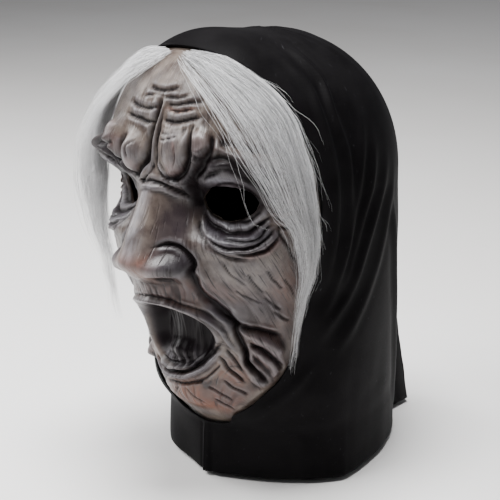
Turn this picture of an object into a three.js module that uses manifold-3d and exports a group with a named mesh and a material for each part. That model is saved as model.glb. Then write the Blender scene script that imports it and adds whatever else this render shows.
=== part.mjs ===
// A witch mask: a full-face latex shell with an attached stretch-cloth hood and two falls of long hair.
//
// Millimetres, +Z up. The face looks along -Y and the wearer's left is +X. The origin is the point
// inside the crown where the hood sits on a head, and the hem hangs 310 mm below it.
//
// Every soft piece lies on one head form. A place on that form has an angle, in degrees from the
// front towards +X, and a level. A level below zero is a distance in mm under the dome's foot, and
// a level above zero is a climb in degrees up the dome, with 90 at the crown.

import * as THREE from "three";
import Module from "manifold-3d";
import { mergeVertices } from "three/addons/utils/BufferGeometryUtils.js";

// Driving sizes

const DOME_FOOT = -100;
const CROWN_TOP = 1;
const DOME_BACK_POWER = 2.05;
const DOME_FRONT_POWER_GAIN = 2.0;
const DOME_FRONT_NARROWING = 6;
const SKIN_MM_PER_DEGREE = 1.7;

// The face is not quite even: its right side hangs lower, by this share of the way round.
const RIGHT_SIDE_DROOP = 0.1;

const LATEX_WALL = 2.2;
const CLOTH_WALL = 1.5;
const CLOTH_GAP = 0.9;
const HAIR_GAP = 0.4;

// The latex rim is tucked under the cloth, and the relief of the face fades out before it. Both
// are measured inwards from the rim.
const RIM_TUCK = { height: 1.0, from: 8, to: 16 };
const RELIEF_FADE = { from: 14, to: 26 };

// Plan of the head form: a superellipse at each height, one power in front and one behind.
const FORM_ROWS = [
  { z: -310, halfWidth: 78, front: 58, back: 126, frontPower: 1.35, backPower: 1.9 },
  { z: -275, halfWidth: 78, front: 57, back: 122, frontPower: 1.6, backPower: 2.0 },
  { z: -262, halfWidth: 79, front: 65, back: 121, frontPower: 1.75, backPower: 2.0 },
  { z: -246, halfWidth: 80, front: 76, back: 119, frontPower: 1.8, backPower: 2.0 },
  { z: -221, halfWidth: 82, front: 86, back: 116, frontPower: 1.7, backPower: 2.0 },
  { z: -195, halfWidth: 84, front: 101, back: 113, frontPower: 1.6, backPower: 2.0 },
  { z: -170, halfWidth: 85, front: 112, back: 111, frontPower: 1.55, backPower: 2.0 },
  { z: -150, halfWidth: 86, front: 110, back: 109, frontPower: 1.9, backPower: 2.0 },
  { z: -125, halfWidth: 86, front: 108, back: 108, frontPower: 2.5, backPower: 2.0 },
  { z: -100, halfWidth: 86, front: 108, back: 107, frontPower: 2.9, backPower: 2.0 },
];

// The gentle rise of the cloth over the front of the crown.
const CROWN_RISE = { height: 6, y: -52, lengthY: 30, lengthX: 55 };

// How far round the face the latex reaches under the cloth, at each level.
const FACE_REACH = [
  { level: -176, angle: 24 },
  { level: -154, angle: 37 },
  { level: -140, angle: 46 },
  { level: -126, angle: 60 },
  { level: -102, angle: 66 },
  { level: -72, angle: 69 },
  { level: -16, angle: 74 },
  { level: 9, angle: 71 },
  { level: 34, angle: 62 },
  { level: 51, angle: 52 },
  { level: 70, angle: 44 },
];
const FACE_COLUMNS = 34;
const FACE_ROWS_BELOW_BROW = 34;
const FACE_ROWS_OVER_BROW = 6;
const BROW_TOP_LEVEL = 25;
const FACE_CENTRE_BIAS = 0.35;
const NORMAL_STEP = 2;

// The nose ridge: how far it stands off the form in the mid-plane, and its half width, by height.
const NOSE_ROWS = [
  { z: -162, height: 0, halfWidth: 20 },
  { z: -153, height: 7, halfWidth: 20 },
  { z: -145, height: 17, halfWidth: 19 },
  { z: -134, height: 27, halfWidth: 17 },
  { z: -120, height: 23, halfWidth: 13 },
  { z: -104, height: 14, halfWidth: 11 },
  { z: -86, height: 5, halfWidth: 10 },
  { z: -74, height: 0, halfWidth: 10 },
];

const NOSE_FLANK_POWER = 2.2;

// Swellings and hollows of the face, some of them turned in the skin by degrees. One marked both
// stands on both sides of the nose.
const SWELLINGS = [
  { name: "nose_wing", angle: 11, z: -139, halfWidth: 9, halfHeight: 9, height: 8, both: true },
  { name: "frown_lump_left", angle: 10, z: -62, halfWidth: 10, halfHeight: 15, height: 6 },
  { name: "frown_lump_right", angle: -9, z: -66, halfWidth: 9, halfHeight: 13, height: 6 },
  { name: "brow_lump", angle: 20, z: -54, halfWidth: 9, halfHeight: 9, height: 5, both: true },
  { name: "brow_ridge", angle: 34, z: -68, halfWidth: 24, halfHeight: 8, height: 9, turn: -8, both: true },
  { name: "brow_corner_right", angle: -44, z: -66, halfWidth: 14, halfHeight: 9, height: 4 },
  { name: "eye_socket", angle: 28, z: -95, halfWidth: 27, halfHeight: 20, height: -19, both: true },
  { name: "upper_lid", angle: 27, z: -80, halfWidth: 20, halfHeight: 7, height: 7, both: true },
  { name: "eye_bag", angle: 29, z: -120, halfWidth: 24, halfHeight: 8, height: 4, turn: 8, both: true },
  { name: "cheek_pad", angle: 38, z: -146, halfWidth: 25, halfHeight: 24, height: 5, both: true },
  { name: "jowl_upper", angle: 43, z: -199, halfWidth: 17, halfHeight: 9, height: 5, turn: -38, both: true },
  { name: "jowl_lower", angle: 40, z: -220, halfWidth: 14, halfHeight: 9, height: 5, turn: -38, both: true },
  { name: "cheek_hollow_right", angle: -38, z: -190, halfWidth: 22, halfHeight: 24, height: -5 },
  { name: "chin_ball", angle: -3, z: -244, halfWidth: 30, halfHeight: 13, height: 5 },
  { name: "tongue", angle: 0, z: -212, halfWidth: 18, halfHeight: 9, height: 9 },
];

const SWELLING_FLATNESS = 1.5;

// Long folds from the nose wings to the jaw, each a groove with a roll outside it.
const CHEEK_FOLDS = [
  { fromAngle: 16, fromZ: -134, toAngle: 35, toZ: -196, halfWidth: 6, groove: 4, roll: 3 },
];

// The closed mouth recess. rim, floor and lipAt are shares of its half width and half height.
const MOUTH = {
  z: -196, halfWidth: 38, halfHeight: 28, depth: 22, rim: 1.1, floor: 0.5,
  lip: 2, lipAt: 1.15, lipWidth: 0.2,
};

// The eye holes go right through the latex.
const EYE_HOLE = { x: 45, y: -81, z: -96, length: 39, height: 26, turn: 22.5, through: 60 };

// Handles of the two curves that draw an eye hole, as shares of its half length and half height.
const UPPER_LID_CURVE = { innerX: -0.7, innerZ: 1.25, outerX: 0.5, outerZ: 1.4 };
const LOWER_LID_CURVE = { innerX: -0.6, innerZ: -1.35, outerX: 0.6, outerZ: -1.2 };

// Side view of the cloth's front edge, from over the crown's front down to the throat.
const HOOD_EDGE = [
  { y: -76, z: 30 },
  { y: -76, z: 2 },
  { y: -63, z: -12 },
  { y: -50, z: -42 },
  { y: -42, z: -82 },
  { y: -38, z: -120 },
  { y: -41, z: -165 },
  { y: -46, z: -205 },
  { y: -51, z: -224 },
  { y: -60, z: -240 },
  { y: -64, z: -256 },
  { y: -60, z: -268 },
  { y: -66, z: -276 },
  { y: -96, z: -280 },
];
const HOOD_EDGE_STEPS = 44;
const HOOD_CUT_FRONT = -220;
const HOOD_CUT_HALF_SPAN = 140;

const HOOD_COLUMNS = 52;
const HOOD_LEVELS = [
  -210, -192, -178, -169, -160, -151, -142, -132, -116, -90, -60, -30, 0, 12, 24, 36, 47, 58, 69, 80, 90,
];

// Drape folds of the cloth. Each starts high on the crown and bends down behind the face opening.
const DRAPES = [
  { angle: 74, crownAngle: 20, halfWidth: 4, height: 1.6 },
  { angle: 84, crownAngle: 40, halfWidth: 4, height: 1.8 },
  { angle: 96, crownAngle: 70, halfWidth: 4, height: 1.5 },
  { angle: 108, crownAngle: 100, halfWidth: 5, height: 1.6 },
  { angle: 122, crownAngle: 120, halfWidth: 5, height: 2.5 },
];
const DRAPE_FADE = { from: 60, to: 84 };

// The box pleat that hangs open at the nape.
const NAPE_PLEAT = { halfAngle: 12, edge: 5, depth: 25, topLevel: -10 };

// The ridge of the seam down the front of the throat.
const NECK_SEAM = { height: 2.2, halfAngle: 3.5, topLevel: -172, fullLevel: -184 };

// The cloth stands fuller on the right of the throat.
const THROAT_FULLNESS = { angle: 302, halfAngle: 26, height: 8, topLevel: -150 };

// Falls of hair, from the parting to the tip. front and back are places on the form, standOff is
// how far the fall swings clear of the skin, and depth is its thickness.
const HAIR_FALL_LEFT = [
  { frontAngle: -3, frontLevel: 57, backAngle: 6, backLevel: 59.5, standOff: 0, depth: 2.5 },
  { frontAngle: 6, frontLevel: 46, backAngle: 23, backLevel: 56, standOff: 1.8, depth: 5 },
  { frontAngle: 16, frontLevel: 32, backAngle: 39, backLevel: 46, standOff: 5, depth: 6 },
  { frontAngle: 27, frontLevel: 16, backAngle: 52, backLevel: 32, standOff: 10, depth: 6 },
  { frontAngle: 38, frontLevel: 5, backAngle: 58, backLevel: 13, standOff: 10, depth: 6 },
  { frontAngle: 47, frontLevel: -8, backAngle: 61, backLevel: -6, standOff: 7, depth: 6 },
  { frontAngle: 53, frontLevel: -32, backAngle: 62, backLevel: -36, standOff: 6, depth: 5 },
  { frontAngle: 55, frontLevel: -60, backAngle: 60, backLevel: -64, standOff: 4, depth: 4 },
  { frontAngle: 54.5, frontLevel: -92, backAngle: 56.5, backLevel: -93, standOff: 3, depth: 2.5 },
];
const HAIR_FALL_RIGHT = [
  { frontAngle: -4.5, frontLevel: 57, backAngle: -11, backLevel: 59, standOff: 0, depth: 2.5 },
  { frontAngle: -7, frontLevel: 44, backAngle: -24, backLevel: 55, standOff: 1.8, depth: 4 },
  { frontAngle: -14, frontLevel: 29, backAngle: -39, backLevel: 45, standOff: 4, depth: 5 },
  { frontAngle: -25, frontLevel: 14, backAngle: -51, backLevel: 30, standOff: 10, depth: 6 },
  { frontAngle: -36, frontLevel: 2, backAngle: -58, backLevel: 11, standOff: 16, depth: 7 },
  { frontAngle: -42, frontLevel: -14, backAngle: -61, backLevel: -8, standOff: 19, depth: 7 },
  { frontAngle: -46, frontLevel: -36, backAngle: -60, backLevel: -36, standOff: 22, depth: 6 },
  { frontAngle: -49, frontLevel: -60, backAngle: -58, backLevel: -62, standOff: 23, depth: 5 },
  { frontAngle: -52, frontLevel: -88, backAngle: -55, backLevel: -89, standOff: 23, depth: 3 },
];
const HAIR_STEPS = 22;
const HAIR_COLUMNS = 8;
const HAIR_LOCKS = 4;
const HAIR_LOCK_RELIEF = 0.45;

const COLOURS = { latex: 0x7c7472, cloth: 0x1b1819, hair: 0xc6c6ca };

// Number helpers

const radians = THREE.MathUtils.degToRad;
const bell = (distance, width) => Math.exp(-((distance / width) ** 2));

function smoothStep(from, to, value) {
  const t = THREE.MathUtils.clamp((value - from) / (to - from), 0, 1);
  return t * t * (3 - 2 * t);
}

// Reads one column of a table at a key, on a smooth curve that doesn't overshoot its rows.
function readTable(rows, key, at, column) {
  const last = rows.length - 1;
  const value = THREE.MathUtils.clamp(at, rows[0][key], rows[last][key]);
  let i = 0;
  while (i < last - 1 && value > rows[i + 1][key]) i += 1;
  const slope = (k) => (rows[k + 1][column] - rows[k][column]) / (rows[k + 1][key] - rows[k][key]);
  const tangent = (k) => {
    if (k === 0) return slope(0);
    if (k === last) return slope(last - 1);
    const before = slope(k - 1);
    const after = slope(k);
    return before * after > 0 ? (2 * before * after) / (before + after) : 0;
  };
  const span = rows[i + 1][key] - rows[i][key];
  const t = (value - rows[i][key]) / span;
  return rows[i][column] * (1 + 2 * t) * (1 - t) ** 2
    + span * tangent(i) * t * (1 - t) ** 2
    + rows[i + 1][column] * t * t * (3 - 2 * t)
    + span * tangent(i + 1) * t * t * (t - 1);
}

// The head form

function planRadius(angle, z) {
  const sine = Math.abs(Math.sin(radians(angle)));
  const cosine = Math.cos(radians(angle));
  const ahead = cosine > 0;
  const halfWidth = readTable(FORM_ROWS, "z", z, "halfWidth");
  const length = readTable(FORM_ROWS, "z", z, ahead ? "front" : "back");
  const power = readTable(FORM_ROWS, "z", z, ahead ? "frontPower" : "backPower");
  return ((sine / halfWidth) ** power + (Math.abs(cosine) / length) ** power) ** (-1 / power);
}

function formPoint(angle, level) {
  const onDome = Math.max(level, 0);
  const footRadius = planRadius(angle, DOME_FOOT + Math.min(level, 0));
  const facing = Math.max(Math.cos(radians(angle)), 0);
  const power = DOME_BACK_POWER + DOME_FRONT_POWER_GAIN * facing ** DOME_FRONT_NARROWING;
  const reach = Math.cos(radians(onDome)) ** (2 / power);
  const climb = Math.sin(radians(onDome)) ** (2 / power);
  const x = footRadius * reach * Math.sin(radians(angle));
  const y = -footRadius * reach * Math.cos(radians(angle));
  const rise = CROWN_RISE.height * bell(y - CROWN_RISE.y, CROWN_RISE.lengthY) * bell(x, CROWN_RISE.lengthX);
  const z = DOME_FOOT + Math.min(level, 0) + (CROWN_TOP - DOME_FOOT + rise) * climb;
  return new THREE.Vector3(x, y, z);
}

// The direction in which relief stands off the form: level below the dome, tilting up over it.
function reliefDirection(angle, level) {
  const tilt = radians(Math.max(level, 0));
  return new THREE.Vector3(
    Math.sin(radians(angle)) * Math.cos(tilt),
    -Math.cos(radians(angle)) * Math.cos(tilt),
    Math.sin(tilt),
  );
}

// A point that stands a given distance off the form.
function raised(angle, level, height) {
  return formPoint(angle, level).addScaledVector(reliefDirection(angle, level), height);
}

// Relief of the face

function swelling(row, angle, z) {
  const turn = radians(row.turn ?? 0);
  const across = (angle - row.angle) * SKIN_MM_PER_DEGREE;
  const up = z - row.z;
  const along = across * Math.cos(turn) + up * Math.sin(turn);
  const off = up * Math.cos(turn) - across * Math.sin(turn);
  const out = (along / row.halfWidth) ** 2 + (off / row.halfHeight) ** 2;
  return row.height * Math.exp(-(out ** SWELLING_FLATNESS));
}

function noseRelief(angle, z) {
  const height = readTable(NOSE_ROWS, "z", z, "height");
  const halfWidth = readTable(NOSE_ROWS, "z", z, "halfWidth");
  const across = Math.abs(angle) * SKIN_MM_PER_DEGREE;
  return height * Math.exp(-((across / halfWidth) ** NOSE_FLANK_POWER));
}

function cheekFold(row, angle, z) {
  const start = new THREE.Vector2(row.fromAngle * SKIN_MM_PER_DEGREE, row.fromZ);
  const end = new THREE.Vector2(row.toAngle * SKIN_MM_PER_DEGREE, row.toZ);
  const place = new THREE.Vector2(Math.abs(angle) * SKIN_MM_PER_DEGREE, z);
  const run = end.clone().sub(start);
  const t = THREE.MathUtils.clamp(place.clone().sub(start).dot(run) / run.lengthSq(), 0, 1);
  const nearest = start.clone().addScaledVector(run, t);
  const side = Math.sign(place.x - nearest.x);
  const distance = place.distanceTo(nearest);
  const outside = side > 0 ? row.roll * bell(distance - 2 * row.halfWidth, row.halfWidth) : 0;
  return outside - row.groove * bell(distance, row.halfWidth);
}

function mouthRelief(angle, z) {
  const across = (angle * SKIN_MM_PER_DEGREE) / MOUTH.halfWidth;
  const up = (z - MOUTH.z) / MOUTH.halfHeight;
  const out = Math.hypot(across, up);
  return MOUTH.lip * bell(out - MOUTH.lipAt, MOUTH.lipWidth)
    - MOUTH.depth * smoothStep(MOUTH.rim, MOUTH.floor, out);
}

// All the relief of the face. It fades out towards the rim, which is tucked under the cloth.
function faceRelief(angle, level) {
  const droop = RIGHT_SIDE_DROOP * Math.max(-angle, 0) * SKIN_MM_PER_DEGREE;
  const z = formPoint(angle, level).z + droop;
  let height = noseRelief(angle, z) + mouthRelief(angle, z);
  for (const row of SWELLINGS) {
    height += swelling(row, angle, z);
    if (row.both) height += swelling(row, -angle, z);
  }
  for (const row of CHEEK_FOLDS) height += cheekFold(row, angle, z);
  const rim = readTable(FACE_REACH, "level", level, "angle");
  const fromRim = (rim - Math.abs(angle)) * SKIN_MM_PER_DEGREE;
  const fromTop = FACE_REACH[FACE_REACH.length - 1].level - level;
  const fromThroat = level - FACE_REACH[0].level;
  const inset = Math.min(fromRim, fromTop, fromThroat);
  return height * smoothStep(RELIEF_FADE.from, RELIEF_FADE.to, inset)
    - RIM_TUCK.height * (1 - smoothStep(RIM_TUCK.from, RIM_TUCK.to, inset));
}

// Mesh helpers

// A wall between two skins of points on one grid. A closed grid joins its last column to its first,
// and a capped one meets in a point at its last row.
function wallGeometry(outerAt, innerAt, columns, rows, closed, capped) {
  const positions = [];
  const width = closed ? columns : columns + 1;
  for (const skin of [outerAt, innerAt]) {
    for (let j = 0; j <= rows; j += 1) {
      for (let i = 0; i < width; i += 1) {
        const point = skin(i / columns, j);
        positions.push(point.x, point.y, point.z);
      }
    }
  }
  const skinSize = width * (rows + 1);
  const at = (skin, i, j) => {
    const column = capped && j === rows ? 0 : i % width;
    return skin * skinSize + j * width + column;
  };
  const index = [];
  const quad = (a, b, c, d) => {
    if (a !== b && b !== c && a !== c) index.push(a, b, c);
    if (a !== c && c !== d && a !== d) index.push(a, c, d);
  };
  for (let j = 0; j < rows; j += 1) {
    for (let i = 0; i < columns; i += 1) {
      quad(at(0, i, j), at(0, i + 1, j), at(0, i + 1, j + 1), at(0, i, j + 1));
      quad(at(1, i, j), at(1, i, j + 1), at(1, i + 1, j + 1), at(1, i + 1, j));
    }
  }
  for (let i = 0; i < columns; i += 1) {
    quad(at(0, i, 0), at(1, i, 0), at(1, i + 1, 0), at(0, i + 1, 0));
    if (!capped) quad(at(0, i, rows), at(0, i + 1, rows), at(1, i + 1, rows), at(1, i, rows));
  }
  if (!closed) {
    for (let j = 0; j < rows; j += 1) {
      quad(at(0, 0, j), at(0, 0, j + 1), at(1, 0, j + 1), at(1, 0, j));
      quad(at(0, columns, j), at(1, columns, j), at(1, columns, j + 1), at(0, columns, j + 1));
    }
  }
  const geometry = new THREE.BufferGeometry();
  geometry.setAttribute("position", new THREE.Float32BufferAttribute(positions, 3));
  geometry.setIndex(index);
  return geometry;
}

const wasm = await Module();
wasm.setup();

function toSolid(geometry) {
  const bare = geometry.clone();
  bare.deleteAttribute("normal");
  bare.deleteAttribute("uv");
  const merged = mergeVertices(bare, 1e-4);
  return new wasm.Manifold(new wasm.Mesh({
    numProp: 3,
    vertProperties: new Float32Array(merged.attributes.position.array),
    triVerts: new Uint32Array(merged.index.array),
  }));
}

function toGeometry(solid) {
  const mesh = solid.getMesh();
  const geometry = new THREE.BufferGeometry();
  geometry.setAttribute("position", new THREE.BufferAttribute(new Float32Array(mesh.vertProperties), 3));
  geometry.setIndex(new THREE.BufferAttribute(new Uint32Array(mesh.triVerts), 1));
  return geometry;
}

function namedMesh(name, geometry, colour, roughness) {
  geometry.computeVertexNormals();
  const material = new THREE.MeshStandardMaterial({ color: colour, roughness, metalness: 0 });
  const mesh = new THREE.Mesh(geometry, material);
  mesh.name = name;
  return mesh;
}

// Face shell

function facePlace(u, row) {
  const lowest = FACE_REACH[0].level;
  const highest = FACE_REACH[FACE_REACH.length - 1].level;
  const level = row <= FACE_ROWS_BELOW_BROW
    ? lowest + ((BROW_TOP_LEVEL - lowest) * row) / FACE_ROWS_BELOW_BROW
    : BROW_TOP_LEVEL + ((highest - BROW_TOP_LEVEL) * (row - FACE_ROWS_BELOW_BROW)) / FACE_ROWS_OVER_BROW;
  const side = 2 * u - 1;
  const spread = side * (1 - FACE_CENTRE_BIAS + FACE_CENTRE_BIAS * side * side);
  return { angle: spread * readTable(FACE_REACH, "level", level, "angle"), level };
}

function faceOuter(angle, level) {
  return raised(angle, level, faceRelief(angle, level));
}

// The inner skin lies one wall behind the outer one, along the skin's own normal.
function faceInner(angle, level) {
  const along = faceOuter(angle + NORMAL_STEP, level).sub(faceOuter(angle - NORMAL_STEP, level));
  const up = faceOuter(angle, level + NORMAL_STEP).sub(faceOuter(angle, level - NORMAL_STEP));
  const normal = along.cross(up).normalize();
  return faceOuter(angle, level).addScaledVector(normal, -LATEX_WALL);
}

function eyeCutter(side) {
  const half = EYE_HOLE.length / 2;
  const rise = EYE_HOLE.height / 2;
  const inner = (curve) => [half * curve.innerX, rise * curve.innerZ];
  const outer = (curve) => [half * curve.outerX, rise * curve.outerZ];
  const outline = new THREE.Shape();
  outline.moveTo(-half, 0);
  outline.bezierCurveTo(...inner(UPPER_LID_CURVE), ...outer(UPPER_LID_CURVE), half, 0);
  outline.bezierCurveTo(...outer(LOWER_LID_CURVE), ...inner(LOWER_LID_CURVE), -half, 0);
  const cutter = new THREE.ExtrudeGeometry(outline, {
    depth: EYE_HOLE.through, bevelEnabled: false, curveSegments: 9,
  });
  cutter.translate(0, 0, -EYE_HOLE.through / 2);
  cutter.rotateX(Math.PI / 2);
  cutter.rotateZ(side * radians(EYE_HOLE.turn));
  const droop = side < 0 ? RIGHT_SIDE_DROOP * EYE_HOLE.x : 0;
  cutter.translate(side * EYE_HOLE.x, EYE_HOLE.y, EYE_HOLE.z - droop);
  return toSolid(cutter);
}

function faceShell() {
  const skin = (place) => (u, row) => {
    const { angle, level } = facePlace(u, row);
    return place(angle, level);
  };
  const rows = FACE_ROWS_BELOW_BROW + FACE_ROWS_OVER_BROW;
  const wall = toSolid(wallGeometry(skin(faceOuter), skin(faceInner), FACE_COLUMNS, rows, false, false));
  const cut = wall.subtract(eyeCutter(1)).subtract(eyeCutter(-1));
  return namedMesh("face_shell", toGeometry(cut), COLOURS.latex, 0.5);
}

// Hood

// The angle from the nape, 0 at the back seam and 180 in front.
const fromNape = (angle) => Math.abs(THREE.MathUtils.euclideanModulo(angle, 360) - 180);

function hoodRelief(angle, level) {
  const side = 180 - fromNape(angle);
  let height = 0;
  for (const row of DRAPES) {
    const bend = Math.max(level, 0) / 90;
    const centre = row.angle + (row.crownAngle - row.angle) * bend * bend;
    const fade = 1 - smoothStep(DRAPE_FADE.from, DRAPE_FADE.to, level);
    height += row.height * fade * bell(side - centre, row.halfWidth);
  }
  const opening = THREE.MathUtils.clamp(
    (level - NAPE_PLEAT.topLevel) / (HOOD_LEVELS[0] - NAPE_PLEAT.topLevel), 0, 1,
  );
  const pleatEnd = NAPE_PLEAT.halfAngle + NAPE_PLEAT.edge;
  const insidePleat = 1 - smoothStep(NAPE_PLEAT.halfAngle, pleatEnd, fromNape(angle));
  height += NAPE_PLEAT.depth * opening * insidePleat;
  const seam = smoothStep(NECK_SEAM.topLevel, NECK_SEAM.fullLevel, level);
  height += NECK_SEAM.height * seam * bell(side, NECK_SEAM.halfAngle);
  const fullness = THROAT_FULLNESS.height * smoothStep(THROAT_FULLNESS.topLevel, HOOD_LEVELS[0], level);
  height += fullness * bell(angle - THROAT_FULLNESS.angle, THROAT_FULLNESS.halfAngle);
  return height;
}

function hoodCutter() {
  const points = HOOD_EDGE.map((row) => new THREE.Vector3(row.y, row.z, 0));
  const curve = new THREE.CatmullRomCurve3(points, false, "centripetal");
  const outline = new THREE.Shape();
  outline.moveTo(HOOD_CUT_FRONT, points[0].y);
  for (const point of curve.getPoints(HOOD_EDGE_STEPS)) outline.lineTo(point.x, point.y);
  outline.lineTo(HOOD_CUT_FRONT, points[points.length - 1].y);
  outline.closePath();
  const cutter = new THREE.ExtrudeGeometry(outline, { depth: 2 * HOOD_CUT_HALF_SPAN, bevelEnabled: false });
  cutter.translate(0, 0, -HOOD_CUT_HALF_SPAN);
  cutter.rotateX(Math.PI / 2);
  cutter.rotateZ(Math.PI / 2);
  return cutter;
}

function hood() {
  const skin = (lift) => (u, row) => {
    const angle = 360 * u;
    const level = HOOD_LEVELS[row];
    return raised(angle, level, lift + hoodRelief(angle, level));
  };
  const rows = HOOD_LEVELS.length - 1;
  const outer = skin(CLOTH_GAP + CLOTH_WALL);
  const inner = skin(CLOTH_GAP);
  const bellSolid = toSolid(wallGeometry(outer, inner, HOOD_COLUMNS, rows, true, true));
  return namedMesh("hood", toGeometry(bellSolid.subtract(toSolid(hoodCutter()))), COLOURS.cloth, 0.9);
}

// Hair

function hairFall(name, rows) {
  const last = rows.length - 1;
  const table = rows.map((row, i) => ({ ...row, step: i / last }));
  const leftSide = rows[last].backAngle > 0;
  const place = (u, row) => {
    const read = (column) => readTable(table, "step", row / HAIR_STEPS, column);
    const across = leftSide ? 1 - u : u;
    return {
      angle: THREE.MathUtils.lerp(read("frontAngle"), read("backAngle"), across),
      level: THREE.MathUtils.lerp(read("frontLevel"), read("backLevel"), across),
      standOff: read("standOff"),
      depth: read("depth"),
    };
  };
  const inner = (u, row) => {
    const { angle, level, standOff } = place(u, row);
    return raised(angle, level, HAIR_GAP + standOff);
  };
  const outer = (u, row) => {
    const { angle, level, standOff, depth } = place(u, row);
    const lock = 1 - HAIR_LOCK_RELIEF * Math.cos(Math.PI * 2 * HAIR_LOCKS * u);
    const thickness = depth * (1 - HAIR_LOCK_RELIEF + (HAIR_LOCK_RELIEF * lock) / 2);
    return raised(angle, level, HAIR_GAP + standOff + thickness);
  };
  const geometry = wallGeometry(outer, inner, HAIR_COLUMNS, HAIR_STEPS, false, false);
  return namedMesh(name, geometry, COLOURS.hair, 0.6);
}

const mask = new THREE.Group();
mask.add(faceShell());
mask.add(hood());
mask.add(hairFall("hair_left", HAIR_FALL_LEFT));
mask.add(hairFall("hair_right", HAIR_FALL_RIGHT));

export default mask;
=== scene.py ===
"""A witch mask: a painted latex face, a hood of black stretch knit and two falls of long pale hair.

Every soft piece lies on one head form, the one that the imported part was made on. Lengths are in
millimetres until a mesh is made, and the mesh is in metres, +Z up, with the face looking along -Y.
A place on the form has an angle in degrees from the front towards +X, and a level. A level below
zero is a distance in mm under the foot of the dome, and one above zero is a climb in degrees.
"""

import logging
import math
from dataclasses import dataclass, replace
from enum import Enum

import bmesh
import bpy
import numpy as np
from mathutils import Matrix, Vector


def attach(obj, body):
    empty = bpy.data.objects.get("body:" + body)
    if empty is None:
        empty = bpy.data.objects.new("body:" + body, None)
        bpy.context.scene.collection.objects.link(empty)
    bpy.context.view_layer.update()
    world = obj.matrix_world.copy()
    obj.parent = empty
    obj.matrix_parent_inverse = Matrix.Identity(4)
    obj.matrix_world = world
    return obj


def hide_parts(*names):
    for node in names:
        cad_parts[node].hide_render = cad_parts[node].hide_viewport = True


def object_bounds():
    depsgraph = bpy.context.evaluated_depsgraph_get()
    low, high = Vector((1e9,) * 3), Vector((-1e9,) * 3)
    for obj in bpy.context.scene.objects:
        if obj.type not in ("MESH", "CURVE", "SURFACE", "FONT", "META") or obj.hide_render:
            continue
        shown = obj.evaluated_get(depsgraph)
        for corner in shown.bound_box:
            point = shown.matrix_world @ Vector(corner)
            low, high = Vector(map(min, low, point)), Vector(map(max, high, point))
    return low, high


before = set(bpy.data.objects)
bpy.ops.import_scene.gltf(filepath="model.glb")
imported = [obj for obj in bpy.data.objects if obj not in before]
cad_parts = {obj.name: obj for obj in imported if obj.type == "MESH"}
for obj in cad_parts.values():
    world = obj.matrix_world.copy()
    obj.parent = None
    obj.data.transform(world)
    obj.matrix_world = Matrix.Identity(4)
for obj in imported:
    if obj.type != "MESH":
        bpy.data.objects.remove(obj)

log = logging.getLogger("witch_mask")

Array = np.ndarray
Places = tuple[tuple[float, float], ...]
Colour = tuple[float, ...]

MM = 0.001
SKIN_MM_PER_DEGREE = 1.7


class Paint(Enum):
    """What is painted on the latex, each kept as a mask on the face's vertices: paint, with painted shade in
    the dark and violet masks and painted highlights in the silver one.
    """

    NONE = "none"
    DARK = "dark"
    WARM = "warm"
    SILVER = "silver"
    VIOLET = "violet"


class Side(Enum):
    """The wearer's side of the head, with its sign along X."""

    LEFT = 1
    RIGHT = -1


# Number helpers


def lowest_near(grid: Array, reach: int) -> Array:
    """The lowest value within a few cells of each cell of a grid."""
    low = grid
    for _ in range(reach):
        padded = np.pad(low, 1, mode="edge")
        low = np.minimum(low, np.minimum(padded[:-2, 1:-1], padded[2:, 1:-1]))
        low = np.minimum(low, np.minimum(padded[1:-1, :-2], padded[1:-1, 2:]))
    return low


def softened(grid: Array, rounds: int) -> Array:
    """A grid averaged with its neighbours a number of times."""
    for _ in range(rounds):
        padded = np.pad(grid, 1, mode="edge")
        around = padded[:-2, 1:-1] + padded[2:, 1:-1] + padded[1:-1, :-2] + padded[1:-1, 2:]
        grid = 0.5 * grid + 0.125 * around
    return grid


def smooth_step(start: float, end: float, value: Array) -> Array:
    """Eases from 0 at start to 1 at end.

    Args:
        start: The value where the step begins.
        end: The value where it is complete, below start for a falling step.
        value: Where to read it.

    Returns:
        The eased share, from 0 to 1.
    """
    share = np.clip((value - start) / (end - start), 0.0, 1.0)
    return share * share * (3.0 - 2.0 * share)


def bell(distance: Array, width: float) -> Array:
    """A rounded bump of height 1 that has fallen to a third at its width."""
    return np.exp(-((distance / width) ** 2))


def faded_ends(share: Array, length: float) -> Array:
    """1 along a line, easing to 0 over a share of its length at each end."""
    return smooth_step(0.0, length, share) * smooth_step(1.0, 1.0 - length, share)


def with_ends(knots: Array) -> Array:
    """A line's knots with one more at each end, so that a curve can run through them all."""
    return np.vstack([2.0 * knots[0] - knots[1], knots, 2.0 * knots[-1] - knots[-2]])


def unit(vectors: Array) -> Array:
    """The same directions at length 1."""
    return vectors / np.maximum(np.linalg.norm(vectors, axis=-1, keepdims=True), 1e-9)


class LatticeNoise:
    """Smooth noise from -1 to 1 over a plane, the same each run."""

    SIZE = 128

    def __init__(self, seed: int) -> None:
        """Fills the lattice from a fixed seed."""
        self.lattice = np.random.default_rng(seed).uniform(-1.0, 1.0, (self.SIZE, self.SIZE))

    def at(self, x: Array, y: Array) -> Array:
        """Reads the noise.

        Args:
            x: Places along the lattice, one cell to a unit.
            y: Places across it.

        Returns:
            The noise at each place.
        """
        column, row = np.floor(x).astype(int), np.floor(y).astype(int)
        along, across = x - column, y - row
        along = along * along * (3.0 - 2.0 * along)
        across = across * across * (3.0 - 2.0 * across)

        def corner(right: int, up: int) -> Array:
            return self.lattice[(column + right) % self.SIZE, (row + up) % self.SIZE]

        low = corner(0, 0) * (1.0 - along) + corner(1, 0) * along
        high = corner(0, 1) * (1.0 - along) + corner(1, 1) * along
        return low * (1.0 - across) + high * across


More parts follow.
